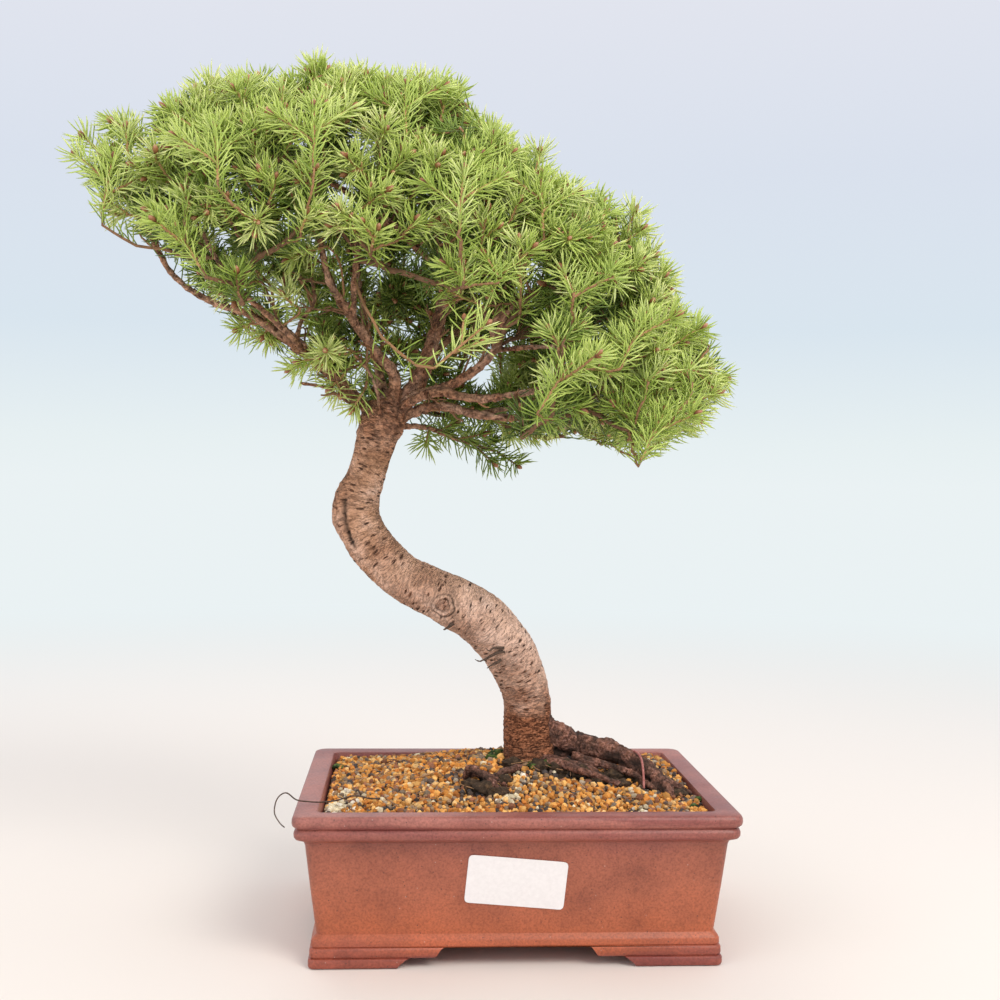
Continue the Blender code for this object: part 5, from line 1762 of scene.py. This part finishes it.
POT_INSIDE = (
    (RIM_WIDTH - 1.4, 4.7, POT_HEIGHT), (RIM_WIDTH - 0.4, 4.4, POT_HEIGHT - 0.4),
    (RIM_WIDTH, 4.2, POT_HEIGHT - 1.4), (RIM_WIDTH + 1.4, 4, 68.0), (19.0, 4, FLOOR_TOP),
)


# The low arches between the feet: how far in from the foot's end, and height
ARCH = (
    (0, -1), (0.4, 0.2), (1.2, 1.6), (4.6, TIER_HEIGHT - 0.7), (6.5, TIER_HEIGHT + 0.1),
    (18.2, TIER_HEIGHT + 0.1), (19.6, TIER_HEIGHT + 0.6), (22.2, FOOT_HEIGHT - 0.8), (23.8, FOOT_HEIGHT),
)


def cut_away(obj, cutter):
    run_modifiers(obj, BOOLEAN={"object": cutter, "operation": "DIFFERENCE", "solver": "EXACT"})
    bpy.data.objects.remove(cutter)


def build_pot(finish):
    points = []
    levels = POT_OUTSIDE + POT_INSIDE
    for inset, radius, z in levels:
        points += rounded_rectangle(POT_WIDTH / 2 - inset, POT_DEPTH / 2 - inset, radius, z)
    side = len(points) // len(levels)
    faces = [tuple(reversed(range(side))), *ring_quads(len(levels), side)]
    faces.append(tuple(range(len(points) - side, len(points))))
    pot = mesh_object("pot_body", points, faces, finish)
    for length, turn in ((POT_WIDTH, 0), (POT_DEPTH, 90)):
        reach = length / 2 - FOOT_INSET - FOOT_LENGTH
        outline = [(reach - inward, z) for inward, z in ARCH]
        ring = [*outline, *[(-x, z) for x, z in reversed(outline)]]
        turned = Matrix.Rotation(math.radians(turn), 3, "Z")
        cut = [turned @ Vector((x, y, z)) for y in (-200, 200) for x, z in ring]
        count = len(ring)
        cut_faces = [tuple(range(count)), tuple(reversed(range(count, 2 * count)))]
        cut_faces += [(k, k + count, (k + 1) % count + count, (k + 1) % count) for k in range(count)]
        cutter = mesh_object("arch", cut, cut_faces)
        face_outwards(cutter)
        cut_away(pot, cutter)
    for side in (-1, 1):
        path = [Vector((side * DRAIN_X, 0, z)) for z in (FLOOR_BOTTOM - 2, FLOOR_TOP + 2)]
        cut_away(pot, closed_tube("drain", path, [DRAIN_RADIUS] * 2, 40))
    run_modifiers(pot, BEVEL={
        "width": 0.5, "segments": 2, "limit_method": "ANGLE", "angle_limit": math.radians(50),
    })
    smooth_by_angle(pot, 40)
    return pot


def front_wall(z):
    """The front wall's y at a height, and the wall's lean."""
    low, high = (12.0, 16.2), (6.2, 62.5)
    share = (z - low[1]) / (high[1] - low[1])
    inset = low[0] + (high[0] - low[0]) * share
    return -(POT_DEPTH / 2 - inset), math.atan2(low[0] - high[0], high[1] - low[1])


def build_label(finish):
    """A blank paper label with round corners and slightly lifted edges."""
    width, height = LABEL_SIZE
    radius = 2.2
    nx, nz = 40, 22
    x, z = LABEL_CENTRE
    y, lean = front_wall(z)
    turn = Matrix.Rotation(lean, 3, "X") @ Matrix.Rotation(math.radians(-LABEL_TILT), 3, "Y")
    out = turn @ Vector((0, -1, 0))
    centre = Vector((x, y, z)) + out * CLEARANCE
    points = []
    for j in range(nz + 1):
        for i in range(nx + 1):
            u, w = width * (i / nx - 0.5), height * (j / nz - 0.5)
            over_u, over_w = abs(u) - (width / 2 - radius), abs(w) - (height / 2 - radius)
            if over_u > 0 and over_w > 0:
                reach = math.hypot(over_u, over_w)
                inside = radius * max(over_u, over_w) / reach / radius
                u = math.copysign(width / 2 - radius + over_u * inside, u)
                w = math.copysign(height / 2 - radius + over_w * inside, w)
            lift = 0.28 * (abs(u) / (width / 2)) ** 6 * (abs(w) / (height / 2)) ** 4
            lift += 0.05 * noise.noise(Vector((u * 0.12, w * 0.12, 0)))
            points.append(centre + turn @ Vector((u, 0, w)) + out * (0.1 + lift))
    label = mesh_object("paper_label", points, grid_quads(nx, nz), finish)
    run_modifiers(label, SOLIDIFY={"thickness": 0.22, "offset": 0})
    face_outwards(label)
    smooth_by_angle(label, 40)
    return label


# Soil


def soil_height(x, y):
    dx = (x - BASE.x) / SOIL_SPREAD[0]
    dy = (y - BASE.y) / SOIL_SPREAD[1]
    rough = 1.3 * noise.fractal(Vector((x * 0.03, y * 0.03, 3.0)), 0.9, 2.0, 3)
    return SOIL_EDGE + SOIL_MOUND * math.exp(-(dx * dx + dy * dy)) + rough


def inner_half(z):
    share = (z - FLOOR_TOP) / (68.0 - FLOOR_TOP)
    inset = 19.0 + (RIM_WIDTH + 1.4 - 19.0) * min(share, 1) + CLEARANCE + 0.2
    return POT_WIDTH / 2 - inset, POT_DEPTH / 2 - inset


def build_soil_bed(finish):
    """The dark body of the soil under its grains."""
    half_x, half_y = inner_half(SOIL_EDGE)
    nx, ny = 64, 50
    points = []
    for j in range(ny + 1):
        for i in range(nx + 1):
            u, w = 2 * i / nx - 1, 2 * j / ny - 1
            x, y = half_x * u, half_y * w
            if abs(x) > half_x - 3 and abs(y) > half_y - 3:
                x, y = x * 0.988, y * 0.988
            points.append((x, y, soil_height(x, y) - 0.9))
    faces = grid_quads(nx, ny)
    rim = [*range(nx + 1), *[j * (nx + 1) + nx for j in range(1, ny + 1)]]
    rim += [ny * (nx + 1) + i for i in range(nx - 1, -1, -1)]
    rim += [j * (nx + 1) for j in range(ny - 1, 0, -1)]
    bottom_x, bottom_y = inner_half(FLOOR_TOP)
    start = len(points)
    for k in rim:
        x, y, _ = points[k]
        points.append((x * bottom_x / half_x, y * bottom_y / half_y, FLOOR_TOP + 1.9))
    count = len(rim)
    for k in range(count):
        n = (k + 1) % count
        faces.append((rim[n], rim[k], start + k, start + n))
    faces.append(tuple(reversed(range(start, start + count))))
    bed = mesh_object("soil_bed", points, faces, finish)
    face_outwards(bed)
    smooth_by_angle(bed, 50)
    return bed


def icosahedron():
    work = bmesh.new()
    bmesh.ops.create_icosphere(work, subdivisions=1, radius=1)
    points = rows_of(v.co for v in work.verts)
    faces = np.array([[v.index for v in f.verts] for f in work.faces])
    work.free()
    return points, faces


def turned_by(rng, count):
    """Random rotations as matrices."""
    q = rng.normal(0, 1, (count, 4))
    w, x, y, z = (q / np.linalg.norm(q, axis=1)[:, None]).T
    return np.stack([
        np.stack([1 - 2 * (y * y + z * z), 2 * (x * y - z * w), 2 * (x * z + y * w)], 1),
        np.stack([2 * (x * y + z * w), 1 - 2 * (x * x + z * z), 2 * (y * z - x * w)], 1),
        np.stack([2 * (x * z - y * w), 2 * (y * z + x * w), 1 - 2 * (x * x + y * y)], 1),
    ], 1)


GRAIN_PITCH = 2.45
GRAIN_SIZE = (1.44, 0.34)  # mean radius and its spread
# Where the gravel is pale, and where dark peat shows: centre and radius
PALE_PATCH = (((-95, -47), 16), ((-90, -24), 7), ((64, -63), 6), ((-3, -50), 7), ((5, -18), 5))
PEAT_PATCH = (
    ((-16, -34), 14), ((28, -10), 13), ((44, -16), 13), ((60, -16), 11), ((77, -22), 9), ((91, -34), 7),
    ((2, 2), 9), ((32, 14), 19), ((-8, -22), 8), ((98, -52), 6), ((60, -64), 5), ((-60, 10), 4),
)


# Which of GRAIN_COLOURS the grains take: how often each elsewhere, and those of the two patches
GRAIN_SHARES = {
    0: 0.19, 1: 0.12, 2: 0.16, 3: 0.10, 4: 0.09, 5: 0.05, 6: 0.05, 7: 0.04, 8: 0.03, 9: 0.04, 10: 0.04,
    12: 0.02, 14: 0.07,
}
PALE_CLASSES = [12, 13, 12]
PEAT_CLASSES = [9, 10, 11, 15, 14]


def grain_class(rng, x, y):
    for patch, spread, chance, classes in ((PALE_PATCH, 1.1, 0.9, PALE_CLASSES),
                                           (PEAT_PATCH, 1.15, 0.8, PEAT_CLASSES)):
        for (cx, cy), reach in patch:
            if math.hypot(x - cx, y - cy) < reach * rng.uniform(0.5, spread) and rng.random() < chance:
                return int(rng.choice(classes))
    return int(rng.choice(list(GRAIN_SHARES), p=list(GRAIN_SHARES.values())))


def build_grains(finish, paths):
    """Loose gravel over the soil, clear of the trunk and the roots."""
    rng = np.random.default_rng(SEED + 2)
    half_x, half_y = inner_half(POT_HEIGHT)
    centres, sizes, classes = [], [], []
    wood_points = np.array([
        (*p, r) for kind, path, radii in paths if kind != 1 for p, r in zip(path, radii) if p[2] < 110
    ])
    pitch = GRAIN_PITCH
    for layer, lift in ((0, -0.9), (1, 0.5)):
        for j in range(int(2 * half_y / pitch) + 1):
            for i in range(int(2 * half_x / pitch) + 1):
                if layer and rng.random() > 0.55:
                    continue
                x = -half_x + pitch * (i + rng.uniform(0, 1)) + 0.6
                y = -half_y + pitch * (j + rng.uniform(0, 1)) + 0.6
                size = float(np.clip(rng.normal(*GRAIN_SIZE), 0.8, 2.4))
                if abs(x) > half_x - size * 0.7 or abs(y) > half_y - size * 0.7:
                    continue
                peaty = any(math.hypot(x - cx, y - cy) < reach for (cx, cy), reach in PEAT_PATCH)
                if peaty and rng.random() < 0.6:
                    continue
                z = soil_height(x, y) + lift + rng.uniform(-0.4, 0.5)
                away = np.linalg.norm(wood_points[:, :3] - (x, y, z), axis=1) - wood_points[:, 3]
                if away.min() < size * 0.2:
                    continue
                centres.append((x, y, z))
                sizes.append(size)
                classes.append(grain_class(rng, x, y))
    count = len(centres)
    base, tris = icosahedron()
    shape = base[None] * rng.uniform(0.80, 1.22, (count, 12, 1))
    shape = shape * rng.uniform(0.72, 1.2, (count, 1, 3)) * np.array(sizes)[:, None, None]
    shape = np.einsum("nij,nkj->nki", turned_by(rng, count), shape) + np.array(centres)[:, None]
    tris = (12 * np.arange(count)[:, None, None] + tris[None]).reshape(-1, 3)
    classes = np.array(classes)
    v = (classes + 0.5) / len(GRAIN_COLOURS)
    u = rng.uniform(0.08, 0.92, count)
    tri_uv = np.empty((count, 20, 3, 2))
    for corner, (du, dv) in enumerate(((-0.02, -0.012), (0.02, -0.012), (0.0, 0.014))):
        tri_uv[:, :, corner, 0] = (u + du)[:, None]
        tri_uv[:, :, corner, 1] = (v + dv)[:, None]
    grains = big_mesh("gravel", shape.reshape(-1, 3), np.zeros((0, 4), int), tris, finish,
                      np.zeros((0, 4, 2)), tri_uv.reshape(-1, 3, 2))
    grains.data.shade_flat()
    return grains


def clump(work, centre, reach, height, seed, levels=3):
    """One displaced blob added to a bmesh."""
    made = bmesh.ops.create_icosphere(work, subdivisions=levels, radius=1)
    for vertex in made["verts"]:
        p = vertex.co.copy()
        rough = 1 + 0.42 * noise.fractal(p * 1.7 + Vector((seed * 7.1, 0, 0)), 0.8, 2.0, 4)
        vertex.co = Vector(centre) + Vector((p.x * reach, p.y * reach, p.z * height)) * rough


def build_clumps(name, finish, spots, levels=3):
    work = bmesh.new()
    for seed, (x, y, lift, reach, height) in enumerate(spots):
        clump(work, (x, y, soil_height(x, y) + lift), reach, height, seed, levels)
    mesh = bpy.data.meshes.new(name)
    work.to_mesh(mesh)
    work.free()
    return dress(linked(name, mesh), finish)


# Clumps on the soil: place, lift, radius and height
PEAT_SPOTS = (
    (-14, -34, 0.6, 7.5, 4.2), (-22, -31, 0.8, 5.0, 4.2), (-8, -40, 0.2, 6.0, 3.0), (28, -9, 0.6, 7.5, 4.6),
    (38, -13, 0.5, 6.5, 4.2), (47, -21, 0.3, 6.0, 3.6), (16, -8, 0.4, 5.5, 4.0), (56, -14, 0.5, 6.5, 4.0),
    (68, -13, 0.4, 5.5, 4.0), (80, -22, 0.4, 5.0, 3.6), (30, 27, 0.3, 8.0, 3.4), (10, 34, 0.3, 7.0, 3.0),
    (90, -33, 0.2, 4.5, 2.8), (60, -25, 0.2, 5.0, 3.0), (-4, -24, 0.2, 4.5, 3.0), (2, 0, 0.3, 5.0, 3.2),
)
MOSS_SPOTS = (
    (-5.5, 20, 0.6, 3.8, 2.8), (-8, 14, 0.3, 3.2, 2.2), (-3, 27, 0.2, 3.4, 2.4), (2, -1, 0.3, 2.4, 1.8),
    (21, -7, 1.4, 3.6, 2.8), (13, -9, 0.8, 3.0, 2.2), (98, -41, 0.3, 2.2, 1.4), (93, -55, 0.2, 2.0, 1.2),
    (26, 34, 0.4, 4.2, 2.4), (-96, 44, 0.2, 3.6, 1.6),
)


def build_litter(stems, dice):
    """Dry needles and bits of fine root that lie on the gravel."""
    for _ in range(64):
        x, y = dice.uniform(-90, 90), dice.uniform(-64, 64)
        if math.hypot(x - BASE.x, y - BASE.y) < 22:
            continue
        a = dice.uniform(0, math.tau)
        reach = dice.uniform(4, 6.5)
        ends = [Vector((x + s * reach * math.cos(a), y + s * reach * math.sin(a), 0)) for s in (-1, 0, 1)]
        path = [Vector((p.x, p.y, soil_height(p.x, p.y) + 2.3 + dice.uniform(-0.3, 0.5))) for p in ends]
        stems.add(spline(path, 5), 0.38, 0.22, dice.uniform(0.25, 0.9), 4)


ROOTLET = (
    (-70, -56, 79.6), (-75, -60, 80.6), (-83, -61, 82.2), (-92, -62, 80.0), (-100, -61, 79.0),
    (-106, -59, 78.8), (-112, -60, 80.0), (-117, -62, 84.0), (-121, -66, 82.0), (-122, -70, 76.0),
    (-119, -73, 71.5), (-116.5, -74, 69.5),
)
RED_STRAND = ((66.5, -2, 92), (69.5, -9, 94.6), (71.5, -17, 92.5), (71.5, -25, 87), (71, -31, 79))


# Camera, floor and light


def build_camera():
    turned_right, turned_up, forward = view_axes()
    data = bpy.data.cameras.new("camera")
    data.sensor_width = 36
    data.lens = 36 * VIEW_FOCAL / 1000
    camera = linked("camera", data)
    place = VIEW_PLACE * METRE + Vector(SHIFT)
    rows = [(turned_right[k], turned_up[k], -forward[k], place[k]) for k in range(3)]
    camera.matrix_world = Matrix((*rows, (0, 0, 0, 1)))
    data.clip_start = 0.05
    bpy.context.scene.camera = camera


def area_light(name, place, target, size, power, colour):
    data = bpy.data.lights.new(name, "AREA")
    data.shape = "SQUARE"
    data.size = size
    data.energy = power
    data.color = colour
    light = linked(name, data)
    light.location = place
    light.rotation_euler = (Vector(target) - Vector(place)).to_track_quat("-Z", "Y").to_euler()


HORIZON = (0.825, 0.885, 0.900)


def floor_material():
    """Pale floor that fades into the backdrop's colour away from the pot."""
    made, tree, shader = new_material("pale_floor", 0.7, 0.25)
    shader.inputs["Base Color"].default_value = (0.83, 0.765, 0.70, 1)
    far = node(tree, "ShaderNodeEmission")
    far.inputs["Color"].default_value = (*HORIZON, 1)
    reach = node(tree, "ShaderNodeVectorMath", operation="LENGTH")
    tree.links.new(object_place(tree), reach.inputs[0])
    share = node(tree, "ShaderNodeMapRange", interpolation_type="SMOOTHSTEP")
    share.inputs["From Min"].default_value = 0.25
    share.inputs["From Max"].default_value = 1.9
    tree.links.new(reach.outputs["Value"], share.inputs["Value"])
    blend = node(tree, "ShaderNodeMixShader")
    tree.links.new(share.outputs[0], blend.inputs[0])
    tree.links.new(shader.outputs[0], blend.inputs[1])
    tree.links.new(far.outputs[0], blend.inputs[2])
    tree.links.new(blend.outputs[0], tree.nodes["Material Output"].inputs["Surface"])
    return made


def build_stage():
    scene = bpy.context.scene
    corners = [(-30, -30, 0), (30, -30, 0), (30, 30, 0), (-30, 30, 0)]
    floor = mesh_object("floor", corners, [(0, 1, 2, 3)], floor_material())
    floor.location.z = -0.0002
    world = bpy.data.worlds.new("studio")
    world.use_nodes = True
    scene.world = world
    tree = world.node_tree
    shader = tree.nodes["Background"]
    sky = ramp(tree, height_of(tree, node(tree, "ShaderNodeTexCoord").outputs["Generated"]), [
        (0.0, HORIZON), (0.03, (0.80, 0.87, 0.885)), (0.11, (0.695, 0.785, 0.86)),
        (0.22, (0.70, 0.755, 0.85)), (0.36, (0.77, 0.785, 0.86)), (1.0, (0.92, 0.92, 0.95)),
    ])
    tree.links.new(sky, shader.inputs["Color"])
    shader.inputs["Strength"].default_value = 1.0
    area_light("key", (0.85, -1.15, 1.35), (0, 0, 0.2), 0.8, 17, (1.0, 0.955, 0.90))
    area_light("fill", (-1.2, -1.0, 0.9), (0, 0, 0.22), 1.2, 5, (1.0, 0.97, 0.94))
    area_light("back", (-0.3, 1.2, 1.5), (0, 0, 0.25), 1.0, 5, (1.0, 0.99, 0.96))
    scene.view_settings.view_transform = "Standard"
    scene.view_settings.look = "None"


def main():
    build_camera()
    build_stage()
    needles, stems, buds, groups = grow_foliage(plan_sprays())
    low, high = (Vector(corner) / METRE - Vector(SHIFT) / METRE for corner in CAD_BOX)
    pieces = needles.build(needle_material(), np.array(low) + 0.4, np.array(high) - 0.4)
    for group, piece in enumerate(pieces):
        put_in_place(piece)
        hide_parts(*groups.get(group, []))
    shoots = stem_material()
    wood_like = [
        (stems.build("young_shoots", shoots), "bark"), (buds.build("buds", bud_material()), "bark"),
    ]
    bark = bark_material()
    wood, paths = build_wood(bark)
    wood_like.append((wood, "bark"))
    litter = Stems()
    build_litter(litter, random.Random(SEED + 5))
    peat = peat_material()
    root = plain_material("dry_root", (0.045, 0.028, 0.020), (0.13, 0.085, 0.06), 700, 0.85)
    red_root = plain_material("red_root", (0.30, 0.07, 0.06), (0.50, 0.20, 0.17), 600, 0.6)
    pot = build_pot(clay_material())
    bed = build_soil_bed(peat)
    gravel = build_grains(grain_material(), paths)
    label = build_label(paper_material())
    rootlet = build_curl("fine_root", ROOTLET, 70, 0.44, 0.30, root)
    strand = build_curl("red_strand", RED_STRAND, 20, 0.65, 0.65, red_root)
    wood_like.append((build_flakes(root), "bark"))
    wood_like += [(litter.build("dry_needles", shoots), "rootlet"), (rootlet, "rootlet"), (strand, "rootlet")]
    ground = [
        (bed, "soil"), (gravel, "soil"), (build_clumps("peat", peat, PEAT_SPOTS), "soil"),
        (build_clumps("moss", moss_material(), MOSS_SPOTS, 4), "soil"),
    ]
    for piece, slot in (*wood_like, *ground, (pot, "clay"), (label, "label")):
        put_in_place(piece)
    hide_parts("trunk_and_branches")
    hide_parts("soil")
    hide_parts("pot")
    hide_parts("label")
    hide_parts("loose_rootlet")
    net = plain_material("black_netting", (0.012, 0.012, 0.013), (0.03, 0.03, 0.032), 300, 0.45)
    for name in ("drain_mesh_left", "drain_mesh_right"):
        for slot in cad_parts[name].material_slots:
            slot.material = net


main()
